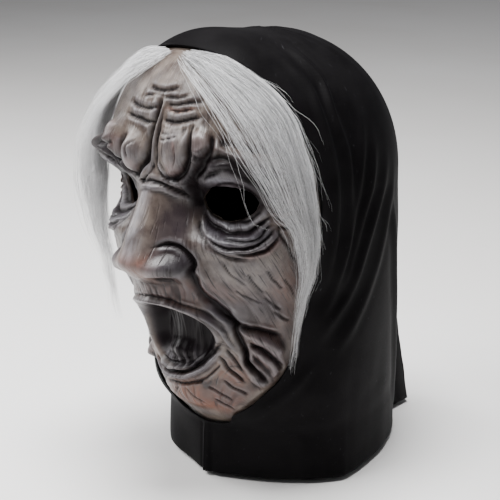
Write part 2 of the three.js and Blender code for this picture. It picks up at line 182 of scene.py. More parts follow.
@dataclass(frozen=True)
class Profile:
    """A smooth curve through a few rows, which doesn't overshoot them."""

    keys: tuple[float, ...]
    values: tuple[float, ...]

    def at(self, key: Array) -> Array:
        """Reads the curve.

        Args:
            key: Where to read it. Past its ends the curve keeps its end values.

        Returns:
            The curve's value at each key.
        """
        keys, values = np.asarray(self.keys, float), np.asarray(self.values, float)
        place = np.clip(key, keys[0], keys[-1])
        slope = np.diff(values) / np.diff(keys)
        tangent = np.zeros_like(values)
        tangent[0], tangent[-1] = slope[0], slope[-1]
        before, after = slope[:-1], slope[1:]
        same_way = before * after > 0.0
        total = np.where(same_way, before + after, 1.0)
        tangent[1:-1] = np.where(same_way, 2.0 * before * after / total, 0.0)
        i = np.clip(np.searchsorted(keys, place, side="right") - 1, 0, len(keys) - 2)
        span = keys[i + 1] - keys[i]
        t = (place - keys[i]) / span
        return (
            values[i] * (1.0 + 2.0 * t) * (1.0 - t) ** 2
            + span * tangent[i] * t * (1.0 - t) ** 2
            + values[i + 1] * t * t * (3.0 - 2.0 * t)
            + span * tangent[i + 1] * t * t * (t - 1.0)
        )


def profiles(rows: tuple[tuple[float, ...], ...]) -> list[Profile]:
    """Turns a table into curves.

    Args:
        rows: The table. Its first column is the key of all the others.

    Returns:
        One curve for each column after the first.
    """
    columns = list(zip(*rows))
    return [Profile(columns[0], column) for column in columns[1:]]


# The head form


class HeadForm:
    """The stretched form that the latex, the cloth and the hair all lie on."""

    DOME_FOOT = -100.0
    CROWN_TOP = 1.0
    BACK_POWER = 2.05
    FRONT_POWER_GAIN = 2.0
    FRONT_NARROWING = 6
    RISE_HEIGHT = 6.0
    RISE_Y = -52.0
    RISE_LENGTH_Y = 30.0
    RISE_LENGTH_X = 55.0
    # height, half width, front, back, front power, back power
    PLAN = (
        (-310, 78, 58, 126, 1.35, 1.9),
        (-275, 78, 57, 122, 1.6, 2.0),
        (-262, 79, 65, 121, 1.75, 2.0),
        (-246, 80, 76, 119, 1.8, 2.0),
        (-221, 82, 86, 116, 1.7, 2.0),
        (-195, 84, 101, 113, 1.6, 2.0),
        (-170, 85, 112, 111, 1.55, 2.0),
        (-150, 86, 110, 109, 1.9, 2.0),
        (-125, 86, 108, 108, 2.5, 2.0),
        (-100, 86, 108, 107, 2.9, 2.0),
    )
    ARC_SAMPLES = 260
    ARC_ANGLE_STEP = 3.0

    def __init__(self) -> None:
        """Reads the plan's rows into curves."""
        curves = profiles(self.PLAN)
        self.half_width, self.front, self.back, self.front_power, self.back_power = curves

    def plan_radius(self, turn: Array, z: Array) -> Array:
        """The distance from the axis to the form, in plan.

        Args:
            turn: Angles from the front, in radians.
            z: Heights in mm.

        Returns:
            Radii in mm.
        """
        sine, cosine = np.abs(np.sin(turn)), np.cos(turn)
        ahead = cosine > 0.0
        length = np.where(ahead, self.front.at(z), self.back.at(z))
        power = np.where(ahead, self.front_power.at(z), self.back_power.at(z))
        wide = (sine / self.half_width.at(z)) ** power
        return (wide + (np.abs(cosine) / length) ** power) ** (-1.0 / power)

    def point(self, angle: Array, level: Array) -> Array:
        """Points on the form.

        Args:
            angle: Angles from the front, in degrees.
            level: Levels, as the file's first lines say.

        Returns:
            Points in mm, with x, y and z along the last axis.
        """
        turn = np.radians(angle)
        climb_angle = np.radians(np.clip(level, 0.0, 90.0))
        foot = self.DOME_FOOT + np.minimum(level, 0.0)
        radius = self.plan_radius(turn, foot)
        facing = np.maximum(np.cos(turn), 0.0)
        power = self.BACK_POWER + self.FRONT_POWER_GAIN * facing**self.FRONT_NARROWING
        reach = np.maximum(np.cos(climb_angle), 0.0) ** (2.0 / power)
        climb = np.sin(climb_angle) ** (2.0 / power)
        x = radius * reach * np.sin(turn)
        y = -radius * reach * np.cos(turn)
        rise = self.RISE_HEIGHT * bell(y - self.RISE_Y, self.RISE_LENGTH_Y)
        rise = rise * bell(x, self.RISE_LENGTH_X)
        return np.stack([x, y, foot + (self.CROWN_TOP - self.DOME_FOOT + rise) * climb], axis=-1)

    def relief_direction(self, angle: Array, level: Array) -> Array:
        """The way relief stands off the form: level under the dome, tilting up over it."""
        turn, tilt = np.radians(angle), np.radians(np.maximum(level, 0.0))
        parts = [np.sin(turn) * np.cos(tilt), -np.cos(turn) * np.cos(tilt), np.sin(tilt)]
        return np.stack(parts, axis=-1)

    def raised(self, angle: Array, level: Array, height: Array) -> Array:
        """Points that stand a height in mm off the form."""
        lift = self.relief_direction(angle, level) * np.asarray(height)[..., None]
        return self.point(angle, level) + lift

    def dome_levels(self, angle: Array, share: float, top: float) -> Array:
        """Finds the levels that lie a share of the way up the dome, measured along its skin.

        Args:
            angle: Angles from the front, in degrees.
            share: The share of the arc from the dome's foot to the top level.
            top: The top level in degrees.

        Returns:
            One level for each angle.
        """
        knots = np.arange(0.0, 180.0 + self.ARC_ANGLE_STEP, self.ARC_ANGLE_STEP)
        samples = top * np.linspace(0.0, 1.0, self.ARC_SAMPLES) ** 2
        points = self.point(knots[:, None], samples[None, :])
        steps = np.linalg.norm(np.diff(points, axis=1), axis=-1)
        arc = np.concatenate([np.zeros((len(knots), 1)), np.cumsum(steps, axis=1)], axis=1)
        found = [np.interp(share * row[-1], row, samples) for row in arc]
        folded = 180.0 - np.abs(np.mod(angle, 360.0) - 180.0)
        return np.interp(folded, knots, found)


FORM = HeadForm()


# Mesh helpers


def grid_faces(columns: int, rows: int, start: int, closed: bool) -> Array:
    """Lists the faces of a grid of vertices.

    Args:
        columns: Vertices along a row.
        rows: The number of rows.
        start: The index of the first vertex.
        closed: Whether the last column joins the first.

    Returns:
        One row of four vertex indices for each face.
    """
    last = columns if closed else columns - 1
    i, j = np.meshgrid(np.arange(last), np.arange(rows - 1), indexing="xy")
    right = (i + 1) % columns
    corners = [j * columns + i, j * columns + right, (j + 1) * columns + right, (j + 1) * columns + i]
    return start + np.stack(corners, axis=-1).reshape(-1, 4)


def open_loops(faces: Array) -> list[list[int]]:
    """Walks the open edges of a set of faces.

    Args:
        faces: Four vertex indices to a face, all turned the same way.

    Returns:
        One list of vertex indices for each loop.
    """
    starts = faces.reshape(-1)
    ends = np.roll(faces, -1, axis=1).reshape(-1)
    size = int(faces.max()) + 1
    used = set((starts.astype(np.int64) * size + ends).tolist())
    reverse = ends.astype(np.int64) * size + starts
    alone = [k for k, key in enumerate(reverse.tolist()) if key not in used]
    follow = {int(starts[k]): int(ends[k]) for k in alone}
    loops = []
    while follow:
        first, after = follow.popitem()
        loop = [first]
        while after != first and after in follow:
            loop.append(after)
            after = follow.pop(after)
        loops.append(loop)
    return loops


def reached(seed: Array, open_to: Array) -> Array:
    """Floods a grid that closes round its columns.

    Args:
        seed: Where the flood starts.
        open_to: Where it may go.

    Returns:
        The places that it reaches.
    """
    flood = seed & open_to
    while True:
        wider = flood | np.roll(flood, 1, axis=1) | np.roll(flood, -1, axis=1)
        wider[1:] |= flood[:-1]
        wider[:-1] |= flood[1:]
        wider &= open_to
        if (wider == flood).all():
            return flood
        flood = wider


def zip_loops(first: list[int], second: list[int], turn_of: Array) -> list[tuple[int, ...]]:
    """Fills the strip between two loops that run round the same centre.

    Args:
        first: Vertex indices of one loop.
        second: Vertex indices of the other, in either direction.
        turn_of: The turn in radians of every vertex about the loops' shared centre.

    Returns:
        Triangles between the two loops.
    """

    def ordered(loop: list[int]) -> tuple[list[int], Array]:
        turns = np.unwrap(turn_of[loop])
        if turns[-1] < turns[0]:
            loop = loop[::-1]
        start = int(np.argmin(np.mod(turn_of[loop], 2.0 * math.pi)))
        loop = loop[start:] + loop[:start]
        turns = np.unwrap(turn_of[loop])
        turns = np.maximum.accumulate(turns - 2.0 * math.pi * math.floor(turns[0] / (2.0 * math.pi)))
        return loop + loop[:1], np.append(turns, turns[0] + 2.0 * math.pi)

    a, turn_a = ordered(first)
    b, turn_b = ordered(second)
    triangles = []
    i = j = 0
    while i < len(a) - 1 or j < len(b) - 1:
        step_a = j == len(b) - 1 or (i < len(a) - 1 and turn_a[i + 1] <= turn_b[j + 1])
        if step_a:
            triangles.append((a[i], a[i + 1], b[j]))
            i += 1
        else:
            triangles.append((a[i], b[j + 1], b[j]))
            j += 1
    return triangles


def used_only(points: Array, faces: list[Array]) -> tuple[Array, list[Array]]:
    """Drops the points that no face uses.

    Args:
        points: All the points.
        faces: Arrays of faces that name them by index.

    Returns:
        The indices of the points that stay, and the faces renumbered for them.
    """
    keep = np.unique(np.concatenate([part.reshape(-1) for part in faces]))
    number = np.full(len(points), -1)
    number[keep] = np.arange(len(keep))
    return keep, [number[part] for part in faces]


def placed(data: bpy.types.ID) -> bpy.types.Object:
    """A new object in the scene for a mesh, a light or a camera, under its name."""
    thing = bpy.data.objects.new(data.name, data)
    bpy.context.collection.objects.link(thing)
    return thing


def piece_from_mesh(name: str, points: Array, faces: list[Array]) -> bpy.types.Object:
    """Makes a smooth closed piece whose faces point outwards.

    Args:
        name: The piece's name.
        points: Vertices in mm.
        faces: Arrays of faces, three or four indices to a row.

    Returns:
        The object, at the origin.
    """
    mesh = bpy.data.meshes.new(name)
    mesh.from_pydata((points * MM).tolist(), [], [face for part in faces for face in part.tolist()])
    shape = bmesh.new()
    shape.from_mesh(mesh)
    bmesh.ops.recalc_face_normals(shape, faces=shape.faces)
    if shape.calc_volume(signed=True) < 0.0:
        bmesh.ops.reverse_faces(shape, faces=shape.faces)
    shape.to_mesh(mesh)
    shape.free()
    mesh.polygons.foreach_set("use_smooth", np.ones(len(mesh.polygons), dtype=bool))
    return placed(mesh)


def set_mask(mesh: bpy.types.Mesh, name: str, values: Array) -> None:
    """Stores one number for each vertex under a name that a material reads."""
    mesh.attributes.new(name, "FLOAT", "POINT").data.foreach_set("value", values.astype(np.float32))


def set_map(mesh: bpy.types.Mesh, name: str, across: Array, up: Array) -> None:
    """Stores a UV map of the skin.

    Args:
        mesh: The mesh that gets it.
        name: The map's name.
        across: Distance round the head for each vertex, in mm.
        up: Distance up the head for each vertex, in mm.
    """
    corners = np.empty(len(mesh.loops), dtype=np.int32)
    mesh.loops.foreach_get("vertex_index", corners)
    pairs = np.stack([across[corners], up[corners]], axis=-1) * MM
    mesh.uv_layers.new(name=name).data.foreach_set("uv", pairs.reshape(-1).astype(np.float32))


# Material helpers


def srgb(red: float, green: float, blue: float) -> Colour:
    """The linear colour of a colour given in display values from 0 to 255."""

    def linear(value: float) -> float:
        share = value / 255.0
        return share / 12.92 if share <= 0.04045 else ((share + 0.055) / 1.055) ** 2.4

    return (linear(red), linear(green), linear(blue), 1.0)


class Sketch:
    """A node tree that is drawn one node at a time."""

    def __init__(self, tree: bpy.types.NodeTree) -> None:
        """Empties the tree that it is to draw in."""
        self.tree = tree
        tree.nodes.clear()

    def add(self, kind: str, inputs: dict | None = None, **settings: object) -> bpy.types.Node:
        """Adds a node.

        Args:
            kind: The node's type.
            inputs: Values, sockets or nodes for its inputs, by name or number. A node gives its
                first output.
            settings: Values of the node's own settings.

        Returns:
            The new node.
        """
        node = self.tree.nodes.new(kind)
        for name, value in settings.items():
            setattr(node, name, value)
        for key, value in (inputs or {}).items():
            value = value.outputs[0] if isinstance(value, bpy.types.Node) else value
            if isinstance(value, bpy.types.NodeSocket):
                self.tree.links.new(value, node.inputs[key])
            else:
                node.inputs[key].default_value = value
        return node

    def group(self, tree: bpy.types.NodeTree, inputs: dict) -> bpy.types.bpy_prop_collection:
        """Places a shared group and gives its outputs."""
        return self.add("ShaderNodeGroup", inputs, node_tree=tree).outputs

    def mix(self, factor: object, below: object, above: object) -> bpy.types.NodeSocket:
        """Lays one colour over another by a factor and gives the result's socket."""
        return self.add("ShaderNodeMix", {0: factor, 6: below, 7: above}, data_type="RGBA").outputs[2]

    def math(self, kind: str, first: object, second: object) -> bpy.types.NodeSocket:
        """Does a sum on two numbers and gives the result's socket, kept between 0 and 1."""
        node = self.add("ShaderNodeMath", {0: first, 1: second}, operation=kind, use_clamp=True)
        return node.outputs[0]

    def attribute(self, name: str) -> bpy.types.NodeSocket:
        """Reads a number that the piece's vertices carry."""
        return self.add("ShaderNodeAttribute", attribute_name=name).outputs["Fac"]

    def between(self, value: object, low: float, high: float) -> bpy.types.NodeSocket:
        """Spreads a number from 0 to 1 over the way from one value to another."""
        return self.add("ShaderNodeMapRange", {"Value": value, "To Min": low, "To Max": high}).outputs[0]

    def eased(self, value: object, low: object, high: object) -> bpy.types.NodeSocket:
        """A mask that eases from 0 at one value to 1 at another."""
        inputs = {"Value": value, "From Min": low, "From Max": high}
        return self.add("ShaderNodeMapRange", inputs, interpolation_type="SMOOTHSTEP").outputs[0]

    def close(self, inputs: dict) -> None:
        """Adds the surface shader with these inputs and leads it to the material's output."""
        shader = self.add("ShaderNodeBsdfPrincipled", inputs)
        self.add("ShaderNodeOutputMaterial", {"Surface": shader})


def add_numbers(tree: bpy.types.NodeTree, numbers: dict[str, float]) -> None:
    """Gives a tree named number inputs.

    Args:
        tree: The tree.
        numbers: The inputs' names and defaults. A whole number makes a whole-number input.
    """
    for label, default in numbers.items():
        kind = "NodeSocketInt" if isinstance(default, int) else "NodeSocketFloat"
        socket = tree.interface.new_socket(name=label, in_out="INPUT", socket_type=kind)
        socket.default_value = default


def new_group(name: str, inputs: dict[str, float], outputs: tuple[str, ...]) -> bpy.types.NodeTree:
    """Starts a shader node group with named sockets.

    Args:
        name: The group's name.
        inputs: Its number inputs and their defaults, which follow a vector input.
        outputs: The names of its number outputs.

    Returns:
        The empty group.
    """
    group = bpy.data.node_groups.new(name, "ShaderNodeTree")
    group.interface.new_socket(name="Vector", in_out="INPUT", socket_type="NodeSocketVector")
    add_numbers(group, inputs)
    for label in outputs:
        group.interface.new_socket(name=label, in_out="OUTPUT", socket_type="NodeSocketFloat")
    return group


class SharedEffects:
    """The shader groups that more than one finish uses."""

    def __init__(self) -> None:
        """Draws each group once."""
        self.mottle = self._mottle()
        self.streaks = self._streaks()

    @staticmethod
    def _mottle() -> bpy.types.NodeTree:
        """Soft uneven blotches with a finer grain over them."""
        inputs = {"Blotch Scale": 60.0, "Grain Scale": 900.0, "Low": 0.35, "High": 0.65}
        group = new_group("mottle", inputs, ("Mask", "Grain"))
        draw = Sketch(group)
        given = draw.add("NodeGroupInput").outputs
        blotch = draw.add(
            "ShaderNodeTexNoise",
            {"Vector": given["Vector"], "Scale": given["Blotch Scale"], "Detail": 4.0, "Roughness": 0.55},
        )
        grain = draw.add(
            "ShaderNodeTexNoise",
            {"Vector": given["Vector"], "Scale": given["Grain Scale"], "Detail": 2.0},
        )
        mask = draw.eased(blotch, given["Low"], given["High"])
        draw.add("NodeGroupOutput", {"Mask": mask, "Grain": grain})
        return group

    @staticmethod
    def _streaks() -> bpy.types.NodeTree:
        """Long thin marks that run up and down a map of the surface."""
        inputs = {"Across Scale": 700.0, "Along Scale": 60.0, "Low": 0.55, "High": 0.7}
        group = new_group("streaks", inputs, ("Mask",))
        draw = Sketch(group)
        given = draw.add("NodeGroupInput").outputs
        stretch = draw.add(
            "ShaderNodeCombineXYZ", {"X": given["Across Scale"], "Y": given["Along Scale"], "Z": 1.0}
        )
        place = draw.add(
            "ShaderNodeVectorMath", {0: given["Vector"], 1: stretch}, operation="MULTIPLY"
        )
        noise = draw.add(
            "ShaderNodeTexNoise",
            {"Vector": place, "Scale": 1.0, "Detail": 3.0, "Distortion": 0.35},
        )
        draw.add("NodeGroupOutput", {"Mask": draw.eased(noise, given["Low"], given["High"])})
        return group


def new_material(name: str) -> tuple[bpy.types.Material, Sketch]:
    """Starts a node material.

    Args:
        name: The material's name.

    Returns:
        The material, and its tree to draw in.
    """
    material = bpy.data.materials.new(name)
    material.use_nodes = True
    return material, Sketch(material.node_tree)


@dataclass(frozen=True)
class LatexFinish:
    """Latex painted in greys with brown stains, dark paint and painted shade in the folds, and a silvery dry
    brush with painted highlights on the ridges.
    """

    base: Colour = srgb(57, 46, 41)
    pale: Colour = srgb(90, 80, 73)
    dark: Colour = srgb(18, 14, 16)
    warm: Colour = srgb(104, 63, 44)
    silver: Colour = srgb(130, 129, 135)
    violet: Colour = srgb(40, 31, 39)
    scratch: Colour = srgb(34, 25, 26)
    raw: Colour = srgb(92, 80, 70)
    blotches_per_metre: float = 95.0
    smoothest: float = 0.26
    roughest: float = 0.48
    gloss: float = 0.5
    fold_gloss: float = 0.08
    grain_depth: float = 0.0004
    scratch_depth: float = 0.0005
    # how much of a stain or of the silver shows where the brush skipped, and what a full brush adds to it
    warm_skipped: float = 0.5
    silver_skipped: float = 0.6
    brush_gain: float = 0.55

    def material(self, effects: SharedEffects) -> bpy.types.Material:
        """Draws the material.

        Args:
            effects: The shared shader groups.

        Returns:
            The material, which reads the masks and the flow map of the face.
        """
        material, draw = new_material("painted_latex")
        flow = draw.add("ShaderNodeUVMap", uv_map="flow").outputs["UV"]
        solid = draw.add("ShaderNodeTexCoord").outputs["Object"]
        mottle = draw.group(effects.mottle, {"Vector": solid, "Blotch Scale": self.blotches_per_metre})
        scratches = draw.group(effects.streaks, {"Vector": flow})["Mask"]
        marks = {"Vector": flow, "Across Scale": 420.0, "Along Scale": 90.0, "Low": 0.42, "High": 0.62}
        brush = draw.math("MULTIPLY", draw.group(effects.streaks, marks)["Mask"], self.brush_gain)
        colour = draw.mix(mottle["Mask"], self.base, self.pale)
        warm = draw.math("MULTIPLY", draw.attribute("warm"), draw.math("ADD", brush, self.warm_skipped))
        colour = draw.mix(warm, colour, self.warm)
        # violet paint, and painted shade on the sides of the nose, in the eye sockets and on the lower face
        colour = draw.mix(draw.attribute("violet"), colour, self.violet)
        # silver dry brush, and painted highlights on the ridges, the nose bridge and the lids
        silver = draw.math("MULTIPLY", draw.attribute("silver"), draw.math("ADD", brush, self.silver_skipped))
        colour = draw.mix(silver, colour, self.silver)
        scratch = draw.math("MULTIPLY", scratches, draw.attribute("streaky"))
        colour = draw.mix(scratch, colour, self.scratch)
        # dark paint, and painted shade in the creases, hollows and eye sockets
        dark = draw.attribute("dark")
        colour = draw.mix(dark, colour, self.dark)
        colour = draw.mix(draw.attribute("inside"), colour, self.raw)
        grain = draw.add(
            "ShaderNodeBump", {"Height": mottle["Grain"], "Strength": 0.25, "Distance": self.grain_depth}
        )
        lines = {"Height": scratches, "Strength": 0.6, "Distance": self.scratch_depth}
        lines["Normal"] = grain
        fine = draw.add("ShaderNodeBump", lines, invert=True)
        draw.close(
            {
                "Base Color": colour,
                "Roughness": draw.between(mottle["Grain"], self.smoothest, self.roughest),
                "Normal": fine,
                "Specular IOR Level": draw.between(dark, self.gloss, self.fold_gloss),
                "IOR": 1.48,
            }
        )
        return material


@dataclass(frozen=True)
class ClothFinish:
    """Black stretch knit: fine ribs, a soft sheen and a little lint."""

    base: Colour = srgb(8, 7, 8)
    worn: Colour = srgb(14, 13, 14)
    sheen: Colour = srgb(150, 150, 158)
    blotches_per_metre: float = 30.0
    ribs_per_metre: float = 900.0
    stitch_depth: float = 0.0002
    lint: float = 0.05
    smoothest: float = 0.46
    roughest: float = 0.66

    def material(self, effects: SharedEffects) -> bpy.types.Material:
        """Draws the material.

        Args:
            effects: The shared shader groups.

        Returns:
            The material, which reads the hood's knit map.
        """
        material, draw = new_material("stretch_knit")
        knit = draw.add("ShaderNodeUVMap", uv_map="knit").outputs["UV"]
        solid = draw.add("ShaderNodeTexCoord").outputs["Object"]
        mottle = draw.group(effects.mottle, {"Vector": solid, "Blotch Scale": self.blotches_per_metre})
        rib = {"Vector": knit, "Scale": self.ribs_per_metre / (2.0 * math.pi), "Distortion": 0.4}
        ribs, courses = (
            draw.add("ShaderNodeTexWave", rib, bands_direction=way).outputs["Fac"] for way in ("X", "Y")
        )
        specks = {"Vector": knit, "Across Scale": 260.0, "Along Scale": 210.0, "Low": 0.66, "High": 0.78}
        lint = draw.math("MULTIPLY", draw.group(effects.streaks, specks)["Mask"], self.lint)
        colour = draw.mix(lint, draw.mix(mottle["Mask"], self.base, self.worn), self.sheen)
        stitch = {"Height": draw.math("MULTIPLY", ribs, courses), "Strength": 0.15}
        bump = draw.add("ShaderNodeBump", {**stitch, "Distance": self.stitch_depth})
        draw.close(
            {
                "Base Color": colour,
                "Roughness": draw.between(mottle["Grain"], self.smoothest, self.roughest),
                "Normal": bump,
                "Sheen Weight": 0.01,
                "Sheen Roughness": 0.5,
                "Sheen Tint": self.sheen,
                "Specular IOR Level": 0.03,
            }
        )
        return material


@dataclass(frozen=True)
class HairFinish:
    """Pale synthetic fibre, each strand a little lighter or greyer than the next, darker in the under layer
    for painted shade and lifted on the far fall for painted light.
    """

    grey: Colour = srgb(86, 86, 89)
    white: Colour = srgb(240, 240, 241)
    shade: float = 0.15
    smoothest: float = 0.30
    roughest: float = 0.46

    def material(self, effects: SharedEffects) -> bpy.types.Material:
        """Draws the material.

        Args:
            effects: The shared shader groups.

        Returns:
            The material, which reads each strand's tone.
        """
        material, draw = new_material("pale_hair")
        mottle = draw.group(effects.mottle, {"Vector": draw.add("ShaderNodeTexCoord").outputs["Object"]})
        colour = draw.mix(draw.attribute("tone"), self.grey, self.white)
        colour = draw.mix(draw.math("MULTIPLY", mottle["Mask"], self.shade), colour, self.grey)
        draw.close(
            {
                "Base Color": colour,
                "Roughness": draw.between(mottle["Grain"], self.smoothest, self.roughest),
                "Sheen Weight": 0.2,
                "Specular IOR Level": 0.5,
            }
        )
        return material


# The latex face


@dataclass(frozen=True)
class Swelling:
    """A rounded swelling or hollow of the face, placed by angle and height."""

    name: str
    angle: float
    z: float
    half_width: float
    half_height: float
    height: float
    paint: Paint = Paint.NONE
    strength: float = 0.0
    turn: float = 0.0
    both: bool = False
    flatness: float = 1.5

    def shape(self, angle: Array, z: Array) -> Array:
        """Its share of its full height at each place, from 0 to 1."""
        turn = math.radians(self.turn)
        across = (angle - self.angle) * SKIN_MM_PER_DEGREE
        up = z - self.z
        along = across * math.cos(turn) + up * math.sin(turn)
        off = up * math.cos(turn) - across * math.sin(turn)
        out = (along / self.half_width) ** 2 + (off / self.half_height) ** 2
        return np.exp(-(out**self.flatness))


@dataclass(frozen=True)
class Stroke:
    """A crease or a roll along a few places, each an angle and a height, with its half width."""

    name: str
    places: Places
    width: float
    height: float
    paint: Paint = Paint.DARK
    strength: float = 0.7
    both: bool = False
    spread: float = 1.2

    STEPS = 7

    def path(self) -> Array:
        """The smoothed path, in mm across and up the skin."""
        knots = np.array(self.places, float) * [SKIN_MM_PER_DEGREE, 1.0]
        padded = with_ends(knots)
        points = []
        for i in range(len(knots) - 1):
            before, start, end, after = padded[i : i + 4]
            for t in np.arange(self.STEPS) / self.STEPS:
                points.append(
                    0.5
                    * (
                        2.0 * start
                        + (end - before) * t
                        + (2.0 * before - 5.0 * start + 4.0 * end - after) * t**2
                        + (3.0 * start - before - 3.0 * end + after) * t**3
                    )
                )
        points.append(knots[-1])
        return np.array(points)

    def measure(self, angle: Array, z: Array) -> tuple[Array, Array]:
        """Measures places against the path.

        Args:
            angle: Angles in degrees.
            z: Heights in mm.

        Returns:
            The distance from the path in mm, and the share of the way along it.
        """
        place = np.stack([angle * SKIN_MM_PER_DEGREE, z], axis=-1)
        path = self.path()
        reach = 4.0 * self.width
        inside = np.all((place > path.min(0) - reach) & (place < path.max(0) + reach), axis=-1)
        near = place[inside]
        best = np.full(len(near), np.inf)
        along = np.zeros(len(near))
        for i, (start, end) in enumerate(zip(path[:-1], path[1:])):
            run = end - start
            t = np.clip((near - start) @ run / max(run @ run, 1e-9), 0.0, 1.0)
            gap = np.linalg.norm(near - start - t[:, None] * run, axis=-1)
            closer = gap < best
            best = np.where(closer, gap, best)
            along = np.where(closer, (i + t) / (len(path) - 1), along)
        distance, share = np.full(inside.shape, np.inf), np.zeros(inside.shape)
        distance[inside], share[inside] = best, along
        return distance, share


def paired(*rows: Swelling | Stroke) -> tuple[Swelling | Stroke, ...]:
    """The same rows, each on both sides of the face."""
    return tuple(replace(row, both=True) for row in rows)


def sides(row: Swelling | Stroke) -> tuple[float, ...]:
    """The signs to read a row's angles with, one for each side of the face that it is on."""
    return (1.0, -1.0) if row.both else (1.0,)


def lay_on(paint: dict[Paint, Array], kind: Paint, amount: Array) -> None:
    """Raises a mask to an amount of paint wherever it holds less."""
    paint[kind] = np.maximum(paint[kind], amount)


NONE, DARK, WARM, SILVER, VIOLET = Paint.NONE, Paint.DARK, Paint.WARM, Paint.SILVER, Paint.VIOLET

# z, height, half width
NOSE_ROWS = (
    (-162, 0, 20),
    (-153, 7, 20),
    (-145, 17, 19),
    (-134, 27, 17),
    (-120, 23, 13),
    (-104, 14, 11),
    (-86, 5, 10),
    (-74, 0, 10),
)

# name, angle, z, half width, half height, height
MAIN_SWELLINGS = (
    Swelling("frown_lump_left", 10, -62, 10, 15, 6),
    Swelling("frown_lump_right", -9, -66, 9, 13, 6),
    Swelling("brow_corner_right", -44, -66, 14, 9, 4),
    Swelling("cheek_hollow_right", -38, -190, 22, 24, -5),
    Swelling("chin_ball", -3, -244, 30, 13, 5),
    Swelling("tongue", 0, -212, 18, 9, 9),
) + paired(
    Swelling("nose_wing", 11, -139, 9, 9, 8),
    Swelling("brow_lump", 20, -54, 9, 9, 5),
    Swelling("brow_ridge", 34, -68, 24, 8, 9, turn=-8),
    Swelling("eye_socket", 28, -95, 27, 20, -19),
    Swelling("upper_lid", 27, -80, 20, 7, 7),
    Swelling("eye_bag", 29, -120, 24, 8, 4, turn=8),
    Swelling("cheek_pad", 38, -146, 25, 24, 5),
    Swelling("jowl_upper", 43, -199, 17, 9, 5, turn=-38),
    Swelling("jowl_lower", 40, -220, 14, 9, 5, turn=-38),
)

# Finer forms than the imported part's, each with what is painted on it: airbrushed colour and stains, painted
# shade and painted highlights.
FINE_SWELLINGS = (
    Swelling("frown_pad_left", 11, -63, 7, 14, 2.0, SILVER, 0.25, flatness=2.0),
    Swelling("frown_foot_left", 11, -73, 6, 6, 0.0, WARM, 0.75),
    Swelling("frown_pad_right", -8, -67, 6.5, 11, 2.4, SILVER, 0.2, flatness=2.0),
    Swelling("frown_foot_right", -8, -74, 5, 4, 0.0, WARM, 0.6),
    Swelling("far_lump", -18, -63, 6, 8, 2.4, WARM, 0.5, flatness=2.0),
    Swelling("nose_ball", 2, -138, 12, 10, 2.0, WARM, 0.9),
    # painted highlights down the nose bridge and on the nose
    Swelling("nose_bridge", 0, -104, 4, 24, 0.6, SILVER, 0.5),
    Swelling("nose_painted_highlight", 1, -127, 5, 12, 0.0, SILVER, 0.4),
    Swelling("lip_stain", 8, -157, 40, 11, 0.0, WARM, 0.8),
    Swelling("lip_shade", 8, -158, 44, 12, 0.0, VIOLET, 0.6),
    Swelling("chin_stain", 8, -248, 58, 20, 0.0, WARM, 1.0),
) + paired(
    Swelling("brow_pad", 21, -55, 4.5, 7, 2.6, WARM, 0.35, flatness=2.0),
    # painted shade on the flanks of the nose, here and in the nose side and wing rows below
    Swelling("nose_flank", 9, -118, 7, 26, 0.0, VIOLET, 0.7),
    Swelling("wing_lobe", 12, -136, 6, 6, 1.6, SILVER, 0.25),
    Swelling("nostril", 9, -146, 6.5, 3.4, -5.0, DARK, 1.0, turn=12),
    # dark and violet paint round the eyes, which also stands for the shade in the sockets and under the brows
    Swelling("socket_shade", 28, -86, 34, 24, 0.0, VIOLET, 0.85),
    Swelling("brow_dark", 32, -67, 24, 7, 0.0, DARK, 0.8, turn=-28),
    Swelling("inner_dark", 18, -84, 7, 18, 0.0, DARK, 0.8),
    Swelling("outer_dark", 44, -82, 8, 13, 0.0, DARK, 0.85),
    Swelling("nose_side", 11, -112, 8, 20, 0.0, VIOLET, 0.75),
    Swelling("wing_shade", 14, -135, 10, 11, 0.0, VIOLET, 0.8),
    Swelling("socket_depth", 20, -92, 9, 17, -1.5, DARK, 0.85),
    Swelling("socket_corner", 46, -88, 8, 10, -1.0, DARK, 0.8),
    # painted highlight on the upper lid
    Swelling("lid_painted_highlight", 28, -77, 10, 3, 0.0, SILVER, 0.8, turn=8),
    Swelling("temple_stain", 42, -66, 18, 16, 0.0, WARM, 0.5),
    Swelling("crow_stain", 50, -96, 8, 14, 0.0, WARM, 0.8),
    # painted highlight on the cheek pad
    Swelling("cheek_light", 36, -140, 22, 16, 0.0, SILVER, 0.22),
    Swelling("cheek_stain", 52, -160, 14, 26, 0.0, WARM, 0.45),
    # painted shade on the lower cheeks, beside the mouth, towards the rim, under the jowls and on the chin;
    # the stains among these rows are paint
    Swelling("low_cheek", 42, -170, 26, 16, 0.0, VIOLET, 0.7),
    Swelling("lip_side", 24, -172, 12, 18, 0.0, VIOLET, 0.85),
    Swelling("rim_shade", 64, -150, 20, 60, 0.0, VIOLET, 0.6),
    Swelling("jowl_shade", 46, -204, 20, 26, 0.0, VIOLET, 0.55),
    Swelling("jowl_stain", 44, -200, 14, 20, 0.0, WARM, 0.7),
    Swelling("chin_shade", 24, -240, 26, 14, 0.0, VIOLET, 0.4),
    Swelling("lip_corner_stain", 28, -222, 16, 14, 0.0, WARM, 0.7),
)

